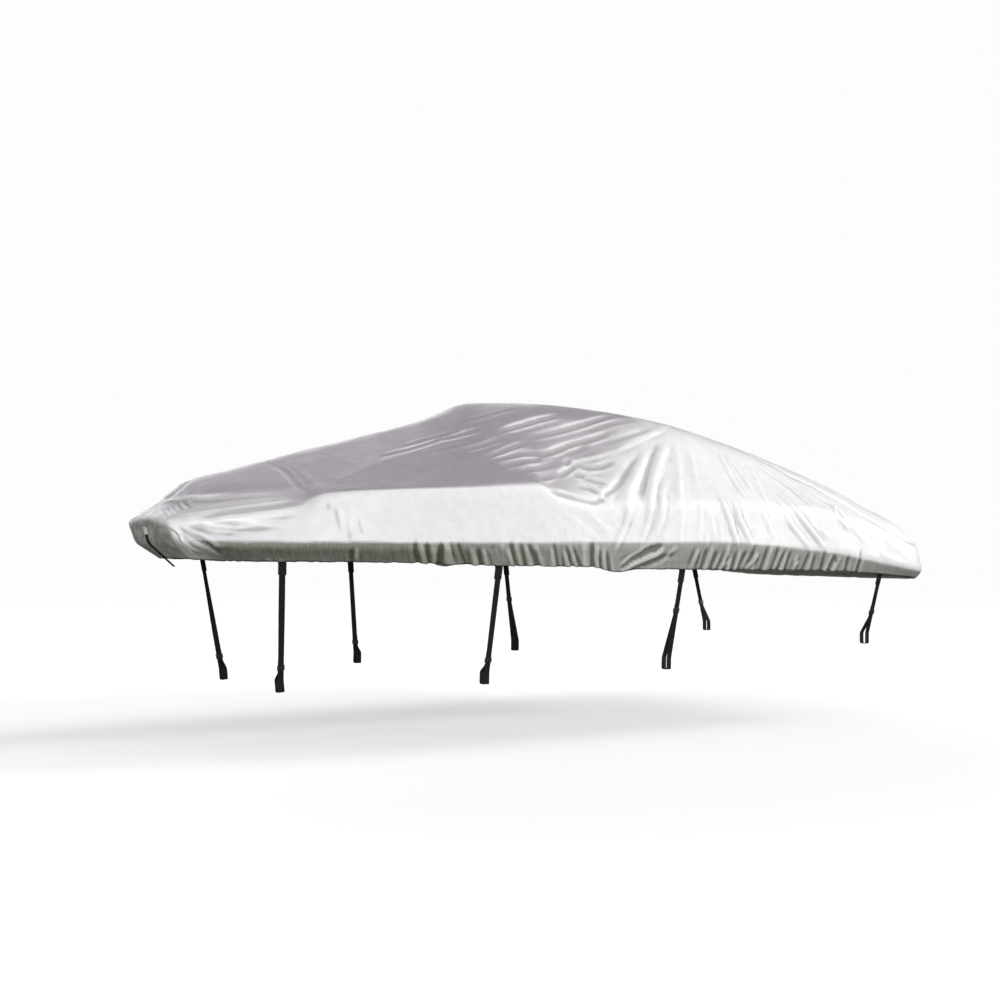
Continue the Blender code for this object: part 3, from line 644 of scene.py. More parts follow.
    (-11, 13, 15, (178, 498, 1376), (321, 604, 1361), (455, 685, 1355)),
    (-14, 20, 26, (33, 377, 1385), (157, 472, 1391), (308, 557, 1417), (463, 636, 1449),
     (622, 704, 1479), (731, 775, 1491)),
    (13.5, 24, 15, (162, 390, 1456), (331, 497, 1480), (494, 590, 1497), (647, 675, 1509)),
    (-11, 19, 21, (132, 300, 1481), (269, 414, 1498), (426, 509, 1516), (621, 632, 1522)),
    (-9, 13, 14, (45, 104, 1448), (18, 242, 1422), (3, 340, 1391)),
    (-9, 13, 14, (61, 147, 1459), (41, 261, 1434), (34, 355, 1403)),
    (-9, 13, 14, (82, 178, 1471), (65, 281, 1445), (66, 367, 1415)),
    (-9, 13, 14, (110, 186, 1489), (95, 283, 1463), (92, 362, 1432)),
    (-9, 13, 14, (137, 233, 1500), (132, 300, 1481), (136, 376, 1450)),
    (9, 15, 22, (15, -207, 1422), (54, -134, 1455), (81, -25, 1478), (129, 202, 1501),
     (208, 329, 1511), (361, 417, 1535)),
    # the crease over the forward part and the small ones beside it
    (-6, 12, 12, (723, 23, 1751), (731, 133, 1727), (759, 225, 1700), (762, 345, 1662),
     (744, 493, 1605), (733, 638, 1553), (746, 697, 1539)),
    (3, 36, 27, (839, 350, 1691), (830, 550, 1623), (814, 731, 1563)),
    (-4, 20, 20, (809, 827, 1496), (807, 846, 1426)),
    (-4.5, 20, 20, (843, 850, 1467), (852, 873, 1391), (860, 896, 1309)),
    (-4.5, 20, 20, (890, 887, 1391), (900, 907, 1321), (911, 924, 1251)),
    (4, 18, 18, (870, 862, 1461), (878, 886, 1379), (887, 908, 1297)),
    (-6.5, 11, 11, (919, 921, 1216), (955, 851, 1133)),
    (5, 11, 11, (945, 934, 1222), (969, 869, 1145)),
    (-4, 11, 11, (962, 912, 1391), (981, 940, 1286)),
)

gathers = {
    # the elastic's gathers on the port side: places aft of a crest, and of a trough
    "crests": (
        1.381, 1.429, 1.519, 1.544, 1.687, 1.764, 1.882, 1.929, 2.054, 2.134, 2.213, 2.313,
        2.368, 2.443, 2.528, 2.579, 3.259, 3.381, 3.519, 3.567, 3.637, 3.785, 3.898, 4.050,
        4.154, 4.287, 4.456, 4.541,
    ),
    "troughs": (
        1.339, 1.411, 1.471, 1.624, 1.655, 1.725, 1.816, 1.956, 2.017, 2.088, 2.114, 2.249,
        2.292, 2.347, 2.397, 2.500, 2.557, 2.615, 3.311, 3.350, 3.432, 3.486, 3.543, 3.610,
        3.672, 3.724, 3.863, 3.960, 4.014, 4.079, 4.242, 4.325, 4.409, 4.493, 4.653, 4.768,
    ),
    "gathered": (1.30, 5.35),  # from here to here aft the elastic draws the hem in
    "apart": (0.030, 0.062),  # least and most from one to the next on the starboard side
    "slantedFrom": 2.70,  # aft of this they lean
    "lean": 0.35,
    "leanSpread": 0.12,
    "leanGirth": 0.03,  # they lean about this girth
    "depth": 0.0098,
    "depthSpread": (0.45, 1.15),
    "width": 0.0140,
    "widthSpread": (0.75, 1.35),
    "fade": (0.105, 0.185),  # girths where they start to fade and are gone
    "fadeSpread": 0.03,
    "seeds": {1: 5, -1: 8},
    "faint": 0.0008,  # what they have forward and aft of the gathered stretch
    "faintHumps": (330, 3),
    "faintFade": (0.08, 0.16),
    "hemWave": 0.0035,
    "waveHumps": (240, 1),
    "waveFade": (0.0, 0.05),
    "waveCentre": 0.15,
    "tabHalf": 0.036,  # the hem is flat here, where a tab is sewn
    "tabFade": 0.055,
    "tabGirth": (0.10, 0.16),
}

topShading = {
    # painted shade where the cloth faces up: the upward share of the cloth's normal there, and
    # the rounded slanting line on the forward half where the painted shade ends
    "facing": (0.60, 0.80),
    "evened": 12,
    "line": 3.42,
    "slant": 2.14,
    "roundTip": 0.25,
    "tip": 0.707,
    "ragged": 0.16,
    "humps": (34, 12),
    "fade": (-0.42, 0.24),
    # aft of it the top has a little painted shade too
    "topShare": 0.62,
    "topFacing": (0.80, 0.99),
    "topEvened": 60,
    "topEnd": (3.7, 5.2),
    # less painted shade on the bow's side, just above the edge, and at its tip
    "sideLess": 0.45,
    "sideAlong": (0.95, 1.40),
    "sideUp": (0.08, 0.22),
    "tipShare": 0.70,
    "tipAlong": (0.35, 0.80),
}

casing = {
    # the hem turned under with the elastic in it: girths and how far in from the cloth
    "path": (
        (0.0006, 0.20), (0.0000, 0.60), (0.0030, 1.0), (0.0120, 1.0), (0.0225, 0.9),
        (0.0290, 0.5),
    ),
    "thick": 0.0050,
    "atTab": 0.0016,
    "rows": 8,  # rows of the cloth that it lies behind
}


def smoothCurve(table, where):
    # through every row of the table without swinging past one, as (aft, out, up)
    knots = np.array([row[0] for row in table]) / 1000.0
    values = np.array([row[1:] for row in table]) / 1000.0
    steps = np.diff(knots)[:, None]
    rates = np.diff(values, axis=0) / steps
    slopes = np.zeros(values.shape)
    slopes[0] = rates[0]
    slopes[-1] = rates[-1]
    onward = rates[:-1] * rates[1:] > 0.0
    before = 2 * steps[1:] + steps[:-1]
    after = steps[1:] + 2 * steps[:-1]
    first = np.where(onward, rates[:-1], 1.0)
    second = np.where(onward, rates[1:], 1.0)
    slopes[1:-1] = np.where(onward, (before + after) / (before / first + after / second), 0.0)
    i = np.clip(np.searchsorted(knots, where) - 1, 0, len(knots) - 2)
    t = ((where - knots[i]) / steps[i, 0])[:, None]
    return (
        values[i] * (1 + 2 * t) * (1 - t) ** 2
        + slopes[i] * steps[i] * t * (1 - t) ** 2
        + values[i + 1] * t * t * (3 - 2 * t)
        + slopes[i + 1] * steps[i] * t * t * (t - 1)
    )


def lengths(vectors):
    return np.linalg.norm(vectors, axis=-1, keepdims=True)


def unit(vectors):
    return vectors / np.maximum(lengths(vectors), 1e-9)


def outward(points):
    # the normals of a grid of cloth points, away from the inside
    return unit(np.cross(np.gradient(points, axis=1), np.gradient(points, axis=0)))


def mixed(start, end, share):
    return start * (1 - share) + end * share


def smooth(values, low=0.0, high=1.0):
    held = np.clip((values - low) / (high - low), 0.0, 1.0)
    return held * held * (3 - 2 * held)


def columnPlaces():
    places = [0.0]
    for upTo, width in cover["columns"]:
        count = round((upTo - places[-1]) / width)
        places += list(np.linspace(places[-1], upTo, count + 1)[1:])
    return np.array(places)


def bendEnds(before, corner, after, reach):
    most = cover["longestBend"]
    back = np.minimum(reach / lengths(before - corner), most)
    ahead = np.minimum(reach / lengths(after - corner), most)
    return corner + (before - corner) * back, corner + (after - corner) * ahead


def straight(start, end, cells):
    t = np.arange(cells)[None, :, None] / cells
    return start[:, None] * (1 - t) + end[:, None] * t


def bend(start, corner, end, t):
    return start * (1 - t) ** 2 + corner * 2 * t * (1 - t) + end * t * t


def curved(start, corner, end, cells, part=1.0):
    t = part * np.arange(cells)[None, :, None] / cells
    return bend(start[:, None], corner[:, None], end[:, None], t)


def loft(places):
    # the taut cloth of one side: [column, row] points in table measures, hem to ridge
    names = ("hem", "lip", "edge", "shoulder", "ridge")
    hem, lip, edge, shoulder, ridge = [smoothCurve(cover[name], places) for name in names]
    across = shoulder * np.array((1.0, -1.0, 1.0))
    lipStart, lipEnd = bendEnds(hem, lip, edge, cover["lipBend"])
    edgeStart, edgeEnd = bendEnds(lip, edge, shoulder, cover["edgeBend"])
    shoulderStart, shoulderEnd = bendEnds(edge, shoulder, ridge, cover["shoulderBend"])
    ridgeStart, ridgeEnd = bendEnds(shoulder, ridge, across, cover["ridgeBend"])
    cells = cover["cells"]
    last = cells[7]
    top = curved(ridgeStart, ridge, ridgeEnd, last + 1, 0.5 * (last + 1) / last)
    toLine = ridge[:, 0] - top[:, -1, 0]
    top[..., 0] += toLine[:, None] * np.linspace(0.0, 1.0, last + 1) ** 2
    top[:, -1, 1] = 0.0
    legs = [
        straight(hem, lipStart, cells[0]),
        curved(lipStart, lip, lipEnd, cells[1]),
        straight(lipEnd, edgeStart, cells[2]),
        curved(edgeStart, edge, edgeEnd, cells[3]),
        straight(edgeEnd, shoulderStart, cells[4]),
        curved(shoulderStart, shoulder, shoulderEnd, cells[5]),
        straight(shoulderEnd, ridgeStart, cells[6]),
        top,
    ]
    return np.concatenate(legs, axis=1)


def field(shape, humps, seed):
    # a smooth random sheet from -1 to 1, with this many humps along and across
    source = np.random.default_rng(seed).uniform(-1.0, 1.0, (humps[0] + 4, humps[1] + 4))
    for count, size in zip(humps, shape):
        place = np.linspace(0.5, count + 1.5, size)
        low = place.astype(int)
        weights = smooth(place - low)[:, None]
        source = source[low] * (1 - weights) + source[low + 1] * weights
        source = source.T
    return source


def foldHeight(points, normals, fold, shift=0.0):
    # how far one fold moves each point of the cloth outward
    depth, left, right, *line = fold
    corners = np.array(line) / 1000.0 + np.array((shift, 0.0, 0.0))
    reach = 3.0 * max(left, right) / 1000.0 + foldEnds["margin"]
    low = corners.min(axis=0) - reach
    high = corners.max(axis=0) + reach
    near = np.all((points > low) & (points < high), axis=-1)
    height = np.zeros(points.shape[:2])
    if not near.any():
        return height
    here = points[near]
    up = normals[near]
    spans = np.diff(corners, axis=0)
    sizes = np.linalg.norm(spans, axis=1)
    starts = np.concatenate(([0.0], np.cumsum(sizes)))
    nearest = np.full(len(here), np.inf)
    place = np.zeros(len(here))
    side = np.zeros(len(here))
    for corner, span, size, start in zip(corners, spans, sizes, starts):
        t = np.clip(((here - corner) @ span) / size**2, 0.0, 1.0)
        away = here - corner - t[:, None] * span
        # measured along the cloth, so a straight line still works where the cloth bulges
        off = np.einsum("ij,ij->i", away, up)
        away = away - off[:, None] * up
        bulge = np.maximum(np.abs(off) - foldEnds["bulge"], 0.0)
        far = np.hypot(np.linalg.norm(away, axis=1), bulge)
        closer = far < nearest
        nearest = np.where(closer, far, nearest)
        place = np.where(closer, start + t * size, place)
        turn = np.einsum("ij,ij->i", np.cross(up, span), away)
        side = np.where(closer, turn, side)
    toEnd = np.minimum(place, starts[-1] - place) / starts[-1]
    ends = smooth(toEnd, *foldEnds["fade"])
    width = np.where(side > 0.0, left, right) / 1000.0
    height[near] = depth / 1000.0 * np.exp(-((nearest / width) ** 2)) * ends
    return height


def gatherPlaces(aft, places, side, made):
    # the middle of each gather along the lip, with 1 for a crest and -1 for a trough
    if side == 1:
        signs = {"crests": 1.0, "troughs": -1.0}
        return [(np.interp(place, aft, places), sign)
                for name, sign in signs.items() for place in gathers[name]]
    rows = []
    place, end = gathers["gathered"]
    while place < end:
        rows.append((np.interp(place, aft, places), made.choice((-1.0, 1.0))))
        place += made.uniform(*gathers["apart"])
    return rows


def gatherHeight(points, places, girths, side):
    # the puckers that the elastic draws in the hem
    aft = points[:, 0, 0]
    along = places[:, None]
    height = np.zeros(girths.shape)
    made = np.random.default_rng(gathers["seeds"][side])
    low, high = gathers["fade"]
    for centre, sign in gatherPlaces(aft, places, side, made):
        slanted = np.interp(gathers["slantedFrom"], aft, places) < centre
        lean = made.normal(gathers["lean"] if slanted else 0.0, gathers["leanSpread"])
        width = gathers["width"] * made.uniform(*gathers["widthSpread"])
        size = sign * gathers["depth"] * made.uniform(*gathers["depthSpread"])
        rise = made.uniform(-gathers["fadeSpread"], gathers["fadeSpread"])
        across = (along - centre - lean * (girths - gathers["leanGirth"])) / width
        height += size * np.exp(-(across**2)) * (1 - smooth(girths, low + rise, high + rise))
    faint = field(girths.shape, gathers["faintHumps"], seeds["faint"] + side)
    height += faint * gathers["faint"] * (1 - smooth(girths, *gathers["faintFade"]))
    return height


def tabMask(places, girths):
    # 0 where a tab is sewn to the hem, 1 away from it
    mask = np.ones(girths.shape)
    half = gathers["tabHalf"]
    for strap in straps:
        away = np.abs(places - strap["along"])[:, None]
        flat = 1 - smooth(away, half, half + gathers["tabFade"])
        mask = np.minimum(mask, 1 - flat * (1 - smooth(girths, *gathers["tabGirth"])))
    return mask


straps = (
    # along: middle of the tab. foot: lowest part of the bight as aft, out, up
    {"along": 1.070, "foot": (0.658, 0.470, 0.350), "buckleRise": 0.150},
    {"along": 2.425, "foot": (1.824, 0.900, 0.376), "buckleRise": 0.150},
    {"along": 3.810, "foot": (3.184, 0.950, 0.410), "buckleRise": 0.390},
    {"along": 5.625, "foot": (5.016, 0.900, 0.510), "buckleRise": 0.230},
)


def clothHeight(points, normals, places, girths, side):
    # how far folds and gathers stand out from the taut cloth
    made = np.random.default_rng(seeds["drift"])
    height = np.zeros(girths.shape)
    for fold in folds:
        if side == 1:
            height += foldHeight(points, normals, fold)
        else:
            shift = cover["starboardShift"] + made.uniform(*cover["starboardDrift"])
            share = cover["starboardShare"] * made.uniform(*cover["starboardSpread"])
            height += foldHeight(points, normals, fold, shift) * share
    uneven = field(girths.shape, cover["foldHumps"], seeds["uneven"] + side)
    height *= 1 + cover["foldUneven"] * uneven
    for humps, seed, depth in cover["unevenness"]:
        height += field(girths.shape, humps, seed + side) * depth
    height += gatherHeight(points, places, girths, side)
    nearHem = girths < gathers["tabGirth"][1]
    height *= np.where(nearHem, tabMask(places, girths), 1.0)
    return height * smooth(points[..., 1] / cover["tautCentre"])


def topShadeShare(points, normals, places, girths, side):
    # how much painted shade the cloth has at each point where it faces up, from 0 to 1
    facing = normals[..., 2]
    for _ in range(topShading["evened"]):
        facing = (np.roll(facing, 1, 0) + facing + np.roll(facing, -1, 0)) / 3
    aft, out = points[..., 0], points[..., 1]
    tip = np.sqrt(out * out + topShading["roundTip"]) - topShading["tip"]
    line = topShading["line"] - topShading["slant"] * tip
    ragged = field(girths.shape, topShading["humps"], seeds["paintedShade"] + side)
    line = line + ragged * topShading["ragged"]
    sky = smooth(facing, *topShading["facing"]) * (1 - smooth(aft - line, *topShading["fade"]))
    broad = facing.copy()
    for _ in range(topShading["topEvened"]):
        broad = (np.roll(broad, 1, 0) + broad + np.roll(broad, -1, 0)) / 3
        broad[:, 1:-1] = (broad[:, :-2] + broad[:, 1:-1] + broad[:, 2:]) / 3
    top = topShading["topShare"] * smooth(broad, *topShading["topFacing"])
    sky = np.maximum(sky, top * (1 - smooth(aft, *topShading["topEnd"])))
    edgeRow = sum(cover["cells"][:4])
    aboveEdge = girths - girths[:, edgeRow:edgeRow + 1]
    bowSide = (1 - smooth(places, *topShading["sideAlong"]))[:, None]
    bowSide = bowSide * (1 - smooth(aboveEdge, *topShading["sideUp"]))
    tipward = mixed(topShading["tipShare"], 1.0, smooth(places, *topShading["tipAlong"]))[:, None]
    return sky * ((1 - topShading["sideLess"] * bowSide) * tipward)


def clothSide(side):
    # one half of the cloth as a grid of points, and what is known at each of them
    places = columnPlaces()
    points = loft(places)
    normals = outward(points)
    steps = lengths(np.diff(points, axis=1))[..., 0]
    girths = np.concatenate((np.zeros((len(places), 1)), np.cumsum(steps, axis=1)), axis=1)
    height = clothHeight(points, normals, places, girths, side)
    moved = points + normals * height[..., None]

    # the elastic draws the hem line up and down a little
    wave = field((len(places), 1), gathers["waveHumps"], seeds["hemWave"] + side)
    low = (1 - smooth(girths, *gathers["waveFade"])) * tabMask(places, girths)
    low = low * smooth(points[..., 1] / gathers["waveCentre"])
    moved[..., 2] += wave * gathers["hemWave"] * low
    # the share of painted shade on the up-facing cloth
    sky = topShadeShare(points, normals, places, girths, side)
    lipRow = cover["cells"][0] + cover["cells"][1] // 2
    return places, moved, sky, girths, girths - girths[:, lipRow:lipRow + 1], height


def casingRows(places, moved, girths):
    # the strip turned under at the hem, from its raw edge inside round to the hem
    mask = tabMask(places, np.zeros((len(places), 1)))[:, 0]
    thick = casing["atTab"] + (casing["thick"] - casing["atTab"]) * mask
    normals = outward(moved)[:, 0]
    behind = casing["rows"]
    rows = []
    for girth, share in reversed(casing["path"]):
        base = np.array([
            [np.interp(girth, g, column[:, k]) for k in range(3)]
            for g, column in zip(girths[:, :behind], moved[:, :behind])
        ])
        rows.append(base - normals * (thick * share)[:, None])
    return np.stack(rows, axis=1)


def toFrame(points, side):
    # from the tables' measures to the frame's
    aft, out, up = np.moveaxis(np.asarray(points), -1, 0)
    return np.stack((aft - originAft, -side * out, up - originUp), axis=-1)


def newPiece(name, verts, faces, finish, slot, replaced, cut=None, **shares):
    # a mesh on the root body. cut and the shares are point attributes that its finish reads
    mesh = bpy.data.meshes.new(name)
    mesh.from_pydata([tuple(v) for v in verts], [], [tuple(f) for f in faces])
    mesh.validate()
    mesh.shade_smooth()
    mesh.materials.append(finishes[finish])
    if cut is not None:
        layer = mesh.attributes.new("cut", "FLOAT_VECTOR", "POINT")
        layer.data.foreach_set("vector", np.asarray(cut, np.float32).ravel())
    for layerName, values in shares.items():
        layer = mesh.attributes.new(layerName, "FLOAT", "POINT")
        layer.data.foreach_set("value", np.asarray(values, np.float32).ravel())
    piece = bpy.data.objects.new(name, mesh)
    bpy.context.scene.collection.objects.link(piece)
    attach(piece, "root")
    if replaced:
        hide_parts(replaced)
    return piece


def standing(height):
    # how sharply each point stands out: 1 on top of a fold, -1 in a crease
    curve = height - (np.roll(height, 1, 0) + np.roll(height, -1, 0)) / 2
    curve += height - (np.roll(height, 1, 1) + np.roll(height, -1, 1)) / 2
    for way in (0, 1):
        curve = (np.roll(curve, 1, way) + 2 * curve + np.roll(curve, -1, way)) / 4
    return np.clip(curve / cover["sharpFold"], -1.0, 1.0)


def quads(numbers, columns, rows, face):
    # four-cornered faces over a grid whose points are numbered by (column, row, face)
    made = []
    for i in range(columns - 1):
        for j in range(rows - 1):
            corners = ((i, j), (i + 1, j), (i + 1, j + 1), (i, j + 1))
            made.append(tuple(numbers[corner + (face,)] for corner in corners)[::face])
    return made


def buildCloth():
    verts, cuts, standOuts, topShades, faces = [], [], [], [], []
    numbers = {}
    halves = {}
    for side in (1, -1):
        places, moved, sky, girths, fromLip, height = clothSide(side)
        halves[side] = (places, moved, girths)
        under = casingRows(places, moved, girths)
        grid = toFrame(np.concatenate((under, moved), axis=1), side)
        grid[0, :, 1] = grid[-1, :, 1] = grid[:, -1, 1] = 0.0
        columns, rows = grid.shape[:2]
        turned = [-girth for girth, _ in reversed(casing["path"])]
        none = np.zeros((columns, len(turned)))
        girths = np.concatenate((none + turned, girths), axis=1)
        fromLip = np.concatenate((none + fromLip[:, :1], fromLip), axis=1)
        # how far each point stands out, which the finish turns into painted highlight on fold
        # tops and painted shade in creases
        rub = standing(np.concatenate((none, height), axis=1))
        sky = np.concatenate((none, sky), axis=1)
        for column in range(columns):
            for row in range(rows):
                shared = row == rows - 1 or column in (0, columns - 1)
                key = (column, row, 1 if shared else side)
                if key not in numbers:
                    numbers[key] = len(verts)
                    verts.append(grid[column, row])
                    cuts.append((places[column], girths[column, row], fromLip[column, row]))
                    standOuts.append(rub[column, row])
                    topShades.append(sky[column, row])
                numbers[(column, row, side)] = numbers[key]
        faces += quads(numbers, columns, rows, side)
    piece = newPiece(
        "coverCloth", verts, faces, "cloth", "silver_cloth", "cover_cloth", cuts,
        rub=standOuts, sky=topShades
    )
    print("cloth", len(verts), "points", len(faces) * 2, "triangles")
    return piece, halves


coverCloth, halves = buildCloth()


def square(vector, direction):
    # the part of a vector that is square to a direction, one metre long
    return unit(vector - direction * np.sum(vector * direction, axis=-1, keepdims=True))


def rounded(corners, reach):
    # the same run of points with each inner corner turned into a soft bend
    path = [corners[0]]
    most = cover["longestBend"]
    for before, corner, after in zip(corners, corners[1:], corners[2:]):
        start = mixed(corner, before, min(reach / np.linalg.norm(before - corner), most))
        end = mixed(corner, after, min(reach / np.linalg.norm(after - corner), most))
        path += [bend(start, corner, end, t) for t in np.linspace(0.0, 1.0, 6)]
    return np.array(path + [corners[-1]])


def spaced(path, pitch):
    # extra points wherever two of them are further apart than the pitch
    points = [path[0]]
    for start, end in zip(path, path[1:]):
        count = max(1, math.ceil(np.linalg.norm(end - start) / pitch))
        points += [mixed(start, end, (i + 1) / count) for i in range(count)]
    return np.array(points)


def distances(path):
    steps = np.linalg.norm(np.diff(path, axis=0), axis=1)
    return np.concatenate(([0.0], np.cumsum(steps)))


# one half of the cross-section of webbing: shares of its width and of its thickness
webbingSection = (
    (-0.500, 0.00), (-0.492, 0.30), (-0.470, 0.46), (-0.400, 0.50), (-0.200, 0.47),
    (0.000, 0.46), (0.200, 0.47), (0.400, 0.50), (0.470, 0.46), (0.492, 0.30),
)


def tube(start, rings, count):
    # the side faces between rings of points, each ring with count of them
    made = []
    for ring in range(rings - 1):
        low = start + ring * count
        for k in range(count):
            n = (k + 1) % count
            made.append((low + k, low + n, low + count + n, low + count + k))
    return made


def closedTube(start, rings, count):
    # a tube with both ends shut
    first = tuple(range(start, start + count))
    last = tuple(range(start + (rings - 1) * count, start + rings * count))
    return tube(start, rings, count) + [first[::-1], last]


def stripMesh(path, across, width, thick):
    # verts, faces and cut places of a band of webbing along a path
    tangents = unit(np.gradient(path, axis=0))
    across = square(across, tangents)
    normals = unit(np.cross(tangents, across))
    section = list(webbingSection) + [(-u, -v) for u, v in webbingSection]
    verts, cuts = [], []
    for point, side, normal, place in zip(path, across, normals, distances(path)):
        for u, v in section:
            verts.append(point + side * (u * width) + normal * (v * thick))
            cuts.append((u * width, place, 1.0 if v >= 0.0 else -1.0))
    return verts, closedTube(0, len(path), len(section)), cuts


stitch = {
    # one stitch: shares of its length, and lifts in thread radii. Its ends are in the cloth
    "rise": ((-0.50, -0.9), (-0.34, 0.30), (0.00, 0.75), (0.34, 0.30), (0.50, -0.9)),
    "spokes": 5,
}


def stitchMesh(rows, length, radius):
    # one small arched thread for each (point, direction, normal) row
    verts, faces = [], []
    rise, spokes = stitch["rise"], stitch["spokes"]
    for point, direction, normal in rows:
        sideways = np.cross(direction, normal)
        faces += closedTube(len(verts), len(rise), spokes)
        for share, lift in rise:
            centre = point + direction * (share * length) + normal * (lift * radius)
            for k in range(spokes):
                angle = 2 * math.pi * k / spokes
                out = sideways * math.cos(angle) + normal * math.sin(angle)
                verts.append(centre + out * radius)
    return verts, faces


def stitchLine(start, end, pitch):
    # places of the stitches along one straight seam, and its direction
    span = end - start
    count = max(2, round(float(np.linalg.norm(span)) / pitch))
    direction = unit(span)
    return [(mixed(start, end, (i + 0.5) / count), direction) for i in range(count)]


def boxStitch(low, high, pitch):
    # the four sides of a sewn box and the cross inside it, in flat (across, along) places
    a, c = np.array(low), np.array(high)
    b, d = np.array((c[0], a[1])), np.array((a[0], c[1]))
    rows = []
    for start, end in ((a, b), (b, c), (c, d), (d, a), (a, c), (b, d)):
        rows += stitchLine(start, end, pitch)
    return rows


class ClothPatch:
    # the finished cloth of one side, to find points on it by along and girth

    def __init__(self, side):
        self.places, self.points, self.girths = halves[side]
        self.normals = outward(self.points)

    def column(self, along, grid):
        i = int(np.clip(np.searchsorted(self.places, along) - 1, 0, len(self.places) - 2))
        share = (along - self.places[i]) / (self.places[i + 1] - self.places[i])
        return mixed(grid[i], grid[i + 1], share)

    def at(self, along, girth):
        # the point and the outward normal of the cloth there
        rows = self.column(along, self.girths)
        points = self.column(along, self.points)
        normals = self.column(along, self.normals)
        j = int(np.clip(np.searchsorted(rows, girth) - 1, 0, len(rows) - 2))
        share = (girth - rows[j]) / (rows[j + 1] - rows[j])
        normal = unit(mixed(normals[j], normals[j + 1], share))
        return mixed(points[j], points[j + 1], share), normal


hanging = {
    "hemGirth": 0.0001,
    "hemSpan": 0.030,  # how far to each side of a tab the line of the hem is measured
    "clothGap": 0.0038,  # from the cloth's face to the middle of a tab
    "tabWidth": 0.050,
    "tabTop": 0.040,  # how far up inside the hem it is sewn
    "tabTurn": 0.012,
    "tabDrop": 0.075,
    "tabTwist": (0.2, 0.6),
    "strapWidth": 0.038,
    "thick": 0.0020,
    "gap": 0.0003,  # between faces that are sewn together
    "strapStart": 0.025,
    "twistStart": 0.090,
    "twistRise": 0.010,
    "bightWidth": 0.054,
    "bightDepth": 0.076,
    "bightBend": 0.012,
    "meetBelow": 0.030,
    "spacing": 0.0024,
    "tail": 0.030,
    "tailLift": 0.0010,  # how far the loose end stands off
    "pitch": 0.010,
    "sewn": (0.0140, 0.0210),  # half sizes of the sewn box where the strap joins its tab
    "sewnDepth": 0.49,
    "stitch": 0.0032,
    "stitchShare": 0.84,
    "threadRadius": 0.00035,
}

buckle = {
    "width": 0.049,
    "depth": 0.0112,
    "height": 0.030,
    "corner": 0.0040,
    "slotWidth": 0.0390,
    "slotDepth": 0.0052,
    "slotCorner": 0.0016,
    "edge": 0.0014,  # how much the rims are rounded
    "levels": 27,
    "ribs": (-0.0075, -0.0025, 0.0025, 0.0075),
    "ribRise": 0.0004,
    "ribWidth": 0.0011,
    "ribEnds": (0.40, 0.46),
    "waist": 0.0012,  # how far the sides draw in between the rims
}


def roundedBox(width, depth, corner):
    # a contour with rounded corners, as flat points in order round it
    points = []
    steps = 5
    for quarter, (u, v) in enumerate(((1, 1), (-1, 1), (-1, -1), (1, -1))):
        for k in range(steps + 1):
            angle = math.pi / 2 * (quarter + k / steps)
            x = u * (width / 2 - corner) + corner * math.cos(angle)
            y = v * (depth / 2 - corner) + corner * math.sin(angle)
            points.append((x, y))
        if u * v > 0:  # more points along the broad faces
            for share in (0.2, 0.4, 0.6, 0.8):
                points.append(((u * (width / 2 - corner)) * (1 - 2 * share), v * depth / 2))
    return np.array(points)


def buckleMesh(middle, across, facing, upward):
    # contours up the outside and back down the slot, with the last joined to the first
    half = buckle["height"] / 2
    edge = buckle["edge"]
    width = buckle["width"]
    levels = [(-half, edge), (-half + 0.3 * edge, 0.35 * edge), (-half + edge, 0.0)]
    plain = np.linspace(-half + 2 * edge, half - 2 * edge, buckle["levels"])
    levels += [(z, 0.0) for z in plain]
    levels += [(half - edge, 0.0), (half - 0.3 * edge, 0.35 * edge), (half, edge)]
    contours = []
    for z, shrink in levels:
        sides = buckle["waist"] * math.cos(math.pi / 2 * z / half) ** 2
        shape = roundedBox(width - 2 * shrink - 2 * sides, buckle["depth"] - 2 * shrink,
                           buckle["corner"] - shrink)
        away = [(z - place) / buckle["ribWidth"] for place in buckle["ribs"]]
        rib = sum(math.exp(-(far**2)) for far in away)
        first, last = [share * width for share in buckle["ribEnds"]]
        broad = 1 - smooth(np.abs(shape[:, 0]), first, last)
        shape[:, 1] += np.sign(shape[:, 1]) * rib * buckle["ribRise"] * broad
        contours.append((z, shape))
    inner = half - 0.5 * edge
    for z, grow in ((half, edge * 0.5), (inner, 0.0), (-inner, 0.0), (-half, edge * 0.5)):
        shape = roundedBox(buckle["slotWidth"] + 2 * grow, buckle["slotDepth"] + 2 * grow,
                           buckle["slotCorner"] + grow)
        contours.append((z, shape))
    verts = [middle + across * x + facing * y + upward * z
             for z, shape in contours for x, y in shape]
    faces = tube(0, len(contours) + 1, len(contours[0][1]))
    return verts, [tuple(k % len(verts) for k in face) for face in faces]


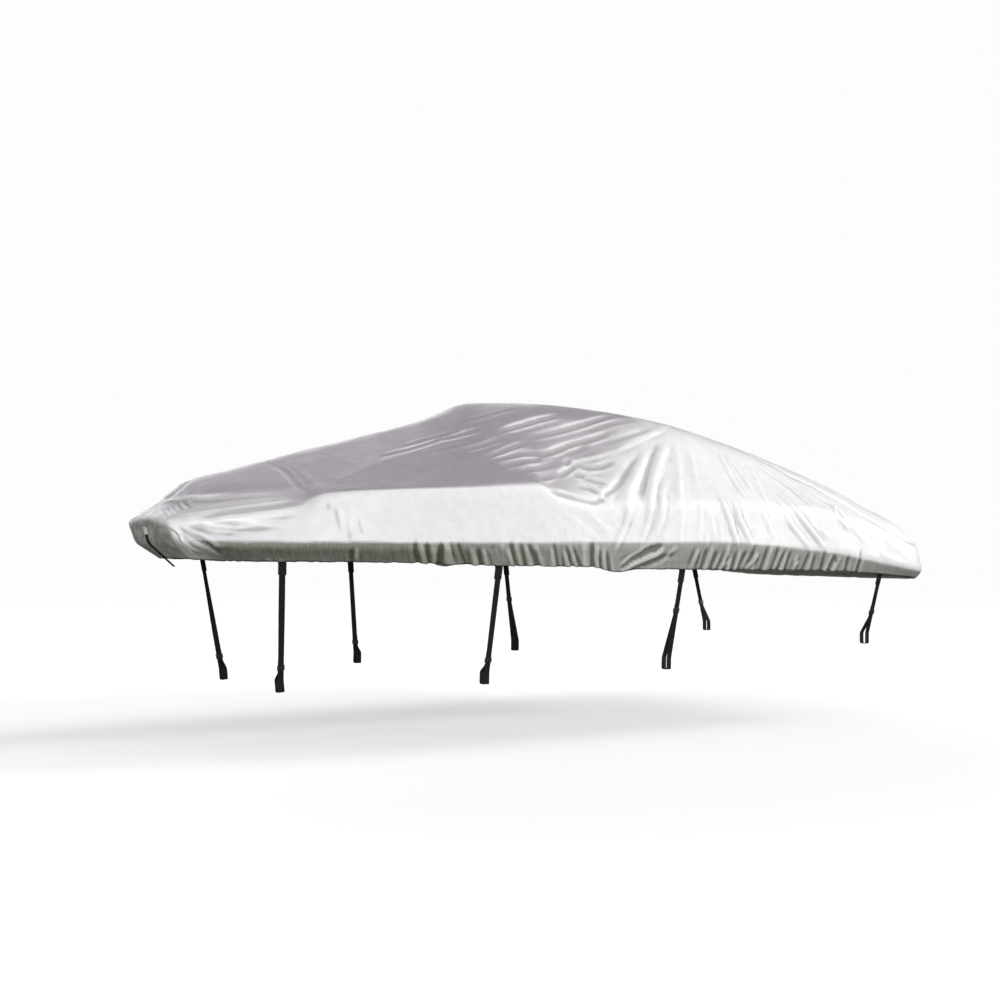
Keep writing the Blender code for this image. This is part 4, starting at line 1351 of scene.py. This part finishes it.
class TieDown:
    # one strap with its tab, its sewn box and its buckle, in the tables' measures

    def __init__(self, number, strap, side, patch):
        self.number = number
        self.side = side
        along, girth, span = strap["along"], hanging["hemGirth"], hanging["hemSpan"]
        hem, _ = patch.at(along, girth)
        above, _ = patch.at(along, hanging["tabTop"])
        left, _ = patch.at(along - span, girth)
        right, _ = patch.at(along + span, girth)
        hemLine = unit(right - left)
        upward = unit(above - hem)
        inset = unit(np.cross(upward, hemLine)) * -hanging["clothGap"]
        turn = hem - upward * hanging["tabTurn"] + inset

        aft, out, self.up = strap["foot"]
        self.bightUp = self.up + hanging["bightDepth"]
        self.lean = (aft - turn[0]) / (turn[2] - self.up)
        bightAft = turn[0] + self.lean * (turn[2] - self.bightUp)
        bightTop = np.array((bightAft, out + hanging["bightWidth"] / 2, self.bightUp))
        self.down = down = unit(bightTop - turn)
        self.acrossHem = square(hemLine, down)
        self.across = square(np.array((1.0, 0.0, 0.0)), down)
        self.outer = self.faceOut(self.acrossHem)
        self.facing = self.faceOut(self.across)
        self.start = turn + down * hanging["strapStart"]
        self.start = self.start + self.outer * (hanging["thick"] + hanging["gap"])
        self.meeting = self.below(self.up + strap["buckleRise"] - hanging["meetBelow"])

        tab = self.addTab(hemLine, above + inset, turn)
        strand, length = self.addStrand()
        self.addSewnBox()
        self.addBuckle()

    def faceOut(self, across):
        # the way that a band faces, away from the centreline
        facing = np.cross(self.down, across)
        return facing if facing[1] > 0.0 else -facing

    def below(self, up):
        # the point of the taut strand at this height
        return self.start + self.down * ((self.start[2] - up) / -self.down[2])

    def piece(self, kind, mesh, finish, slot, inCad=True):
        # one piece of the tie-down, named after its kind, its side and its number
        verts, faces, *cuts = mesh
        where = "port" if self.side == 1 else "starboard"
        replaced = f"{kind}_{where}_{self.number}" if inCad else None
        return newPiece(f"{kind}{where.capitalize()}{self.number}", toFrame(verts, self.side),
                        [face[::self.side] for face in faces], finish, slot, replaced, *cuts)

    def addTab(self, hemLine, top, turn):
        # sewn inside the hem
        path = rounded([top, turn, turn + self.down * hanging["tabDrop"]],
                       hanging["tabTurn"] / 2)
        path = spaced(path, hanging["pitch"])
        run = distances(path)
        drop = smooth(run / run[-1], *hanging["tabTwist"])[:, None]
        wide = unit(hemLine * (1 - drop) + self.acrossHem * drop)
        mesh = stripMesh(path, wide, hanging["tabWidth"], hanging["thick"])
        tab = self.piece("tab", mesh, "webbing", "black_webbing")
        return tab

    def addStrand(self):
        # one long strand, round and back up through the buckle
        start, down, meeting = self.start, self.down, self.meeting
        past = hanging["meetBelow"] + buckle["height"] / 2 + hanging["tail"]
        twistFrom = start + down * (hanging["twistStart"] - hanging["strapStart"])
        twistTo = meeting - down * (past + hanging["twistRise"])
        outerTop = self.below(self.bightUp)
        plumb = np.array((self.lean, 0.0, -1.0)) * hanging["bightDepth"]
        outerFoot = outerTop + plumb
        innerFoot = outerFoot - np.array((0.0, hanging["bightWidth"], 0.0))
        innerStart = meeting - self.facing * hanging["spacing"]
        corners = [twistTo, outerTop, outerFoot, innerFoot, innerFoot - plumb, innerStart,
                   innerStart - down * past]
        bight = rounded(corners, hanging["bightBend"])
        path = spaced(np.concatenate(([start], bight)), hanging["pitch"])
        run = distances(path)
        first = np.linalg.norm(twistFrom - start)
        last = np.linalg.norm(twistTo - start)
        turned = smooth(run, first, last)[:, None]
        wide = self.acrossHem * (1 - turned) + self.across * turned
        loose = smooth(run, run[-1] - hanging["tail"], run[-1])[:, None]
        path = path - self.facing * loose * hanging["tailLift"]
        mesh = stripMesh(path, wide, hanging["strapWidth"], hanging["thick"])
        return self.piece("strap", mesh, "webbing", "black_webbing"), float(run[-1])

    def addSewnBox(self):
        # the stitches that join the strap to its tab
        middle = self.start + self.down * (hanging["tabDrop"] - hanging["strapStart"]) / 2
        half = np.array(hanging["sewn"])
        rows = []
        for (x, y), way in boxStitch(-half, half, hanging["stitch"]):
            point = middle + self.acrossHem * x + self.down * y
            point = point + self.outer * hanging["thick"] * hanging["sewnDepth"]
            direction = unit(self.acrossHem * way[0] + self.down * way[1])
            rows.append((point, direction, self.outer))
        length = hanging["stitch"] * hanging["stitchShare"]
        mesh = stitchMesh(rows, length, hanging["threadRadius"])
        return self.piece("strapStitches", mesh, "blackThread", "black_webbing", inCad=False)

    def addBuckle(self):
        middle = self.meeting - self.facing * hanging["spacing"] / 2
        middle = middle - self.down * hanging["meetBelow"]
        verts, faces = buckleMesh(middle, self.across, self.facing, -self.down)
        handed = np.dot(np.cross(self.across, self.facing), -self.down)
        way = -1 if handed > 0 else 1
        mesh = verts, [face[::way] for face in faces]
        self.piece("buckle", mesh, "plastic", "black_plastic")


for side in (1, -1):
    patch = ClothPatch(side)
    for number, strap in enumerate(straps, start=1):
        TieDown(number, strap, side, patch)
print("tabs, straps and buckles made")

bow = {
    "rows": 40,  # rows of the cloth that its front has
    "tabWidth": 0.070,
    "tabHeight": 0.045,
    "tabUp": 1.318,
    "tabThick": 0.0024,
    "tabCells": (28, 18),
    "tabRim": (-0.0006, 0.0016),  # how it rounds off at its edge
    "tabFold": 0.006,  # the turned-in edge all round the patch
    "foldRise": 0.20,
    "seamIn": 0.0045,
    "seamDent": 0.0003,
    "seamWidth": 0.0012,
    "endDrop": 0.0012,  # it bends over the strap below it and stays down at its two ends
    "endFrom": (0.026, 0.034),
    "strapWidth": 0.050,
    "strapTop": 1.312,
    "strapTail": 0.070,
    "strapStep": 0.006,
    "tailStep": 0.010,
    "offCloth": 0.0013,
    "upStep": 0.02,
    "stitch": 0.0042,
    "stitchShare": 0.82,
    "stitchDepth": 0.43,
    "cutPlace": (0.3, 0.4),  # there its finish is the plain cloth, with no painted shade
}


def girthAt(patch, up):
    # the girth on the middle of the bow end at this height
    rows = bow["rows"]
    return np.interp(up, patch.points[0, :rows, 2], patch.girths[0, :rows])


def addBowStrap(patch):
    # the short strap down the middle of the bow end
    steps = np.arange(girthAt(patch, bow["strapTop"]), 0.0, -bow["strapStep"])
    points = [patch.at(0.0, girth)[0] for girth in steps] + [patch.points[0, 0]]
    points = np.array(points)
    tangents = unit(np.gradient(points, axis=0))
    off = np.stack((tangents[:, 2], np.zeros(len(points)), -tangents[:, 0]), axis=-1)
    off = off * np.where(off[:, :1] > 0.0, -1.0, 1.0)
    path = points + off * bow["offCloth"]
    tailRun = np.arange(bow["tailStep"], bow["strapTail"] + 0.001, bow["tailStep"])
    path = np.concatenate((path, [path[-1] + tangents[-1] * far for far in tailRun]))
    across = np.broadcast_to(np.array((0.0, 1.0, 0.0)), path.shape)
    verts, faces, cuts = stripMesh(path, across, bow["strapWidth"], hanging["thick"])
    strap = newPiece("bowStrap", toFrame(verts, 1), faces, "webbing", "black_webbing",
                     "bow_strap", cuts)


def addBowTab(patch):
    # the patch of cover cloth that holds the strap's top
    girth = girthAt(patch, bow["tabUp"])
    centre, _ = patch.at(0.0, girth)
    higher, _ = patch.at(0.0, girth + bow["upStep"])
    faceUp = unit(higher - centre)
    faceOff = np.array((-faceUp[2], 0.0, faceUp[0]))
    sideways = np.array((0.0, 1.0, 0.0))
    middle = centre + faceOff * (bow["offCloth"] + hanging["gap"] + hanging["thick"])
    wide, high, thick = bow["tabWidth"], bow["tabHeight"], bow["tabThick"]
    cutAlong, cutGirth = bow["cutPlace"]
    across, upright = [np.linspace(-0.5, 0.5, cells + 1) for cells in bow["tabCells"]]
    verts, faces, cuts = [], [], []
    numbers = {}
    for face in (1, -1):
        for i, u in enumerate(across):
            for j, v in enumerate(upright):
                fromEdge = min(0.5 - abs(u), (0.5 - abs(v)) * high / wide) * wide
                body = 0.5 * thick * smooth(fromEdge, *bow["tabRim"])
                fold = bow["tabFold"]
                folded = 1 - smooth(fromEdge, fold, fold + bow["tabRim"][1])
                lift = body * (1 - bow["foldRise"] + folded * bow["foldRise"])
                over = bow["endDrop"] * smooth(abs(u) * wide, *bow["endFrom"])
                fromSeam = (fromEdge - bow["seamIn"]) / bow["seamWidth"]
                dent = -bow["seamDent"] * math.exp(-(fromSeam**2)) if face == 1 else 0.0
                point = middle + sideways * (u * wide) + faceUp * (v * high)
                point = point + faceOff * (face * (lift + dent) - over)
                rim = i in (0, len(across) - 1) or j in (0, len(upright) - 1)
                key = (i, j, 1 if rim else face)
                if key not in numbers:
                    numbers[key] = len(verts)
                    verts.append(point)
                    cuts.append((u * wide + cutAlong, v * high + cutGirth, 1.0))
                numbers[(i, j, face)] = numbers[key]
        faces += quads(numbers, len(across), len(upright), face)
    plain = [0.0] * len(verts)
    tab = newPiece("bowTab", toFrame(verts, 1), faces, "cloth", "silver_cloth", "bow_tab",
                   cuts, rub=plain, sky=plain)
    rows = []
    corner = np.array((wide / 2 - bow["seamIn"], high / 2 - bow["seamIn"]))
    for (x, y), way in boxStitch(-corner, corner, bow["stitch"]):
        over = bow["endDrop"] * smooth(abs(x), *bow["endFrom"])
        point = middle + sideways * x + faceUp * y
        point = point + faceOff * (bow["stitchDepth"] * thick - over)
        rows.append((point, unit(sideways * way[0] + faceUp * way[1]), faceOff))
    length = bow["stitch"] * bow["stitchShare"]
    verts, faces = stitchMesh(rows, length, hanging["threadRadius"])
    sewn = newPiece("bowStitches", toFrame(verts, 1), faces, "greyThread", "silver_cloth", None)


portPatch = ClothPatch(1)
addBowStrap(portPatch)
addBowTab(portPatch)
print("bow strap and its tab made")

seams = {
    "girth": 0.024,  # the row that closes the hem
    "pitch": 0.0062,
    "reach": 0.004,  # how far to each side its direction is measured
    "length": 0.00441,
    "radius": 0.00045,
    "box": (0.0205, 0.0055, 0.0195),  # half width, lowest and highest girth over each tab
    "boxPitch": 0.0042,
    "boxReach": 0.003,
}


def onCloth(point, direction, normal):
    # a stitch's row, with its normal square to its direction
    return point, direction, unit(np.cross(np.cross(direction, normal), direction))


def seamRows(side):
    patch = ClothPatch(side)
    rows = []
    last = patch.places[-1]
    count = int(last / seams["pitch"])
    for i in range(count):
        along = (i + 0.5) * last / count
        point, normal = patch.at(along, seams["girth"])
        ahead, _ = patch.at(min(along + seams["reach"], last), seams["girth"])
        back, _ = patch.at(max(along - seams["reach"], 0.0), seams["girth"])
        rows.append(onCloth(point, unit(ahead - back), normal))
    half, low, high = seams["box"]
    reach = seams["boxReach"]
    for strap in straps:
        for (x, y), way in boxStitch((-half, low), (half, high), seams["boxPitch"]):
            point, normal = patch.at(strap["along"] + x, y)
            ahead, _ = patch.at(strap["along"] + x + way[0] * reach, y + way[1] * reach)
            rows.append(onCloth(point, unit(ahead - point), normal))
    return rows


def addSeams():
    verts, faces = [], []
    for side in (1, -1):
        more, sides = stitchMesh(seamRows(side), seams["length"], seams["radius"])
        start = len(verts)
        verts += list(toFrame(more, side))
        faces += [tuple(start + k for k in face)[::side] for face in sides]
    return newPiece("hemStitches", verts, faces, "greyThread", "silver_cloth", None)


hemStitches = addSeams()
print("seams sewn")

stage = {
    "floor": -originUp,
    "size": 70.0,
    "corners": 96,
    "floorShade": (0.80, 0.80, 0.80, 1.0),
    "floorGlow": 0.45,
    "horizon": (0.980, 0.980, 0.982, 1.0),
    "coveStart": 5.0,  # the floor turns into the backdrop from here to coveEnd
    "coveEnd": 26.0,
    "backdrop": (-3.0, 60.0),  # its lowest and highest points
    "backdropShare": 0.9,
    # a bright wall to port and overhead, a dim room to starboard, by height: 0 straight down
    "wallSide": (0.45, -0.89, 0.0),
    "wallEdge": (-0.22, 0.24),
    "bright": (
        (0.00, (0.070, 0.067, 0.052, 1)),
        (0.46, (0.090, 0.086, 0.068, 1)),
        (0.51, (0.33, 0.33, 0.33, 1)),
        (0.75, (0.34, 0.335, 0.345, 1)),
        (1.00, (0.34, 0.33, 0.35, 1)),
    ),
    "dim": (
        (0.00, (0.070, 0.067, 0.052, 1)),
        (0.46, (0.080, 0.076, 0.060, 1)),
        (0.52, (0.230, 0.220, 0.235, 1)),
        (0.75, (0.280, 0.265, 0.290, 1)),
        (1.00, (0.340, 0.325, 0.350, 1)),
    ),
    "ambient": 1.0,
    # where each comes from, its strength, its softness in degrees and its colour
    "suns": {
        "key": ((0.80, -0.50, 0.33), 1.3, 6.0, (1.0, 0.997, 0.985)),
        "bowFill": ((-0.60, -0.80, 0.02), 3.8, 14.0, (1.0, 1.0, 1.0)),
        "aftTop": ((0.80, -0.10, 0.60), 0.95, 20.0, (1.0, 1.0, 1.0)),
        "top": ((0.50, -0.50, 0.70), 0.25, 40.0, (1.0, 1.0, 1.0)),
        "starboardFill": ((0.25, 0.90, 0.30), 1.9, 40.0, (0.98, 0.99, 1.0)),
    },
}


def addSun(name, towards, strength, softness, colour):
    lamp = bpy.data.lights.new(name, "SUN")
    lamp.energy = strength
    lamp.angle = math.radians(softness)
    lamp.color = colour
    made = bpy.data.objects.new(name, lamp)
    made.rotation_euler = Vector(towards).to_track_quat("Z", "Y").to_euler()
    bpy.context.scene.collection.objects.link(made)


def stageObject(name, verts, faces, finish):
    mesh = bpy.data.meshes.new(name)
    mesh.from_pydata(verts, [], faces)
    mesh.materials.append(finish)
    made = bpy.data.objects.new(name, mesh)
    bpy.context.scene.collection.objects.link(made)
    made.visible_diffuse = False
    made.visible_glossy = False
    return made


def addFloor(ring, fixed):
    finish, shader, start = newFinish("floor", fixed)
    place = start.place()
    flatPlace = place.node("VectorMath", {"operation": "MULTIPLY"}, {0: place, 1: (1, 1, 0)})
    away = flatPlace.node("VectorMath", {"operation": "LENGTH"}, {0: flatPlace}, output=1)
    cove = away.between(stage["coveStart"], stage["coveEnd"])
    glow = [shade * stage["floorGlow"] for shade in stage["floorShade"][:3]] + [1.0]
    feed(cove.blend(stage["floorShade"], (0, 0, 0, 1)), shader, "Base Color")
    feed(cove.blend(tuple(glow), stage["horizon"]), shader, "Emission Color")
    verts = [(x, y, stage["floor"]) for x, y in ring]
    stageObject("floor", verts, [tuple(range(len(ring)))], finish)


def addBackdrop(ring, fixed):
    # a pale ring and lid round everything, seen only by the camera
    finish, shader, _ = newFinish("backdrop", fixed)
    shader.inputs["Base Color"].default_value = (0, 0, 0, 1)
    shader.inputs["Emission Color"].default_value = stage["horizon"]
    share = stage["backdropShare"]
    verts = [(share * x, share * y, rise) for x, y in ring for rise in stage["backdrop"]]
    count = len(ring)
    faces = []
    for k in range(count):
        n = (k + 1) % count
        faces.append((2 * k, 2 * n, 2 * n + 1, 2 * k + 1))
    faces.append(tuple(2 * k + 1 for k in range(count)))
    backdrop = stageObject("backdrop", verts, faces, finish)
    backdrop.visible_transmission = False
    backdrop.visible_shadow = False


def addRoom():
    # the light that comes from all round
    world = bpy.data.worlds.new("studio")
    world.use_nodes = True
    bpy.context.scene.world = world
    start = Wire(world.node_tree)
    towards = start.node("TexCoord", output=0)
    height = towards.axis("Z") * 0.5 + 0.5
    wall = {0: towards, 1: stage["wallSide"]}
    facing = towards.node("VectorMath", {"operation": "DOT_PRODUCT"}, wall, output=1)
    dim = start.node("ValToRGB", {"stops": stage["dim"]}, {"Fac": height})
    bright = start.node("ValToRGB", {"stops": stage["bright"]}, {"Fac": height})
    shader = world.node_tree.nodes["Background"]
    feed(facing.between(*stage["wallEdge"]).blend(dim, bright), shader, "Color")
    shader.inputs["Strength"].default_value = stage["ambient"]


def addStage():
    size = stage["size"]
    angles = np.linspace(0, 2 * math.pi, stage["corners"], endpoint=False)
    ring = [(size * math.cos(angle), size * math.sin(angle)) for angle in angles]
    fixed = {"Roughness": 1.0, "Specular IOR Level": 0.0, "Emission Strength": 1.0}
    addFloor(ring, fixed)
    addBackdrop(ring, fixed)
    addRoom()
    for name, light in stage["suns"].items():
        addSun(name, *light)


addStage()
print("stage set")
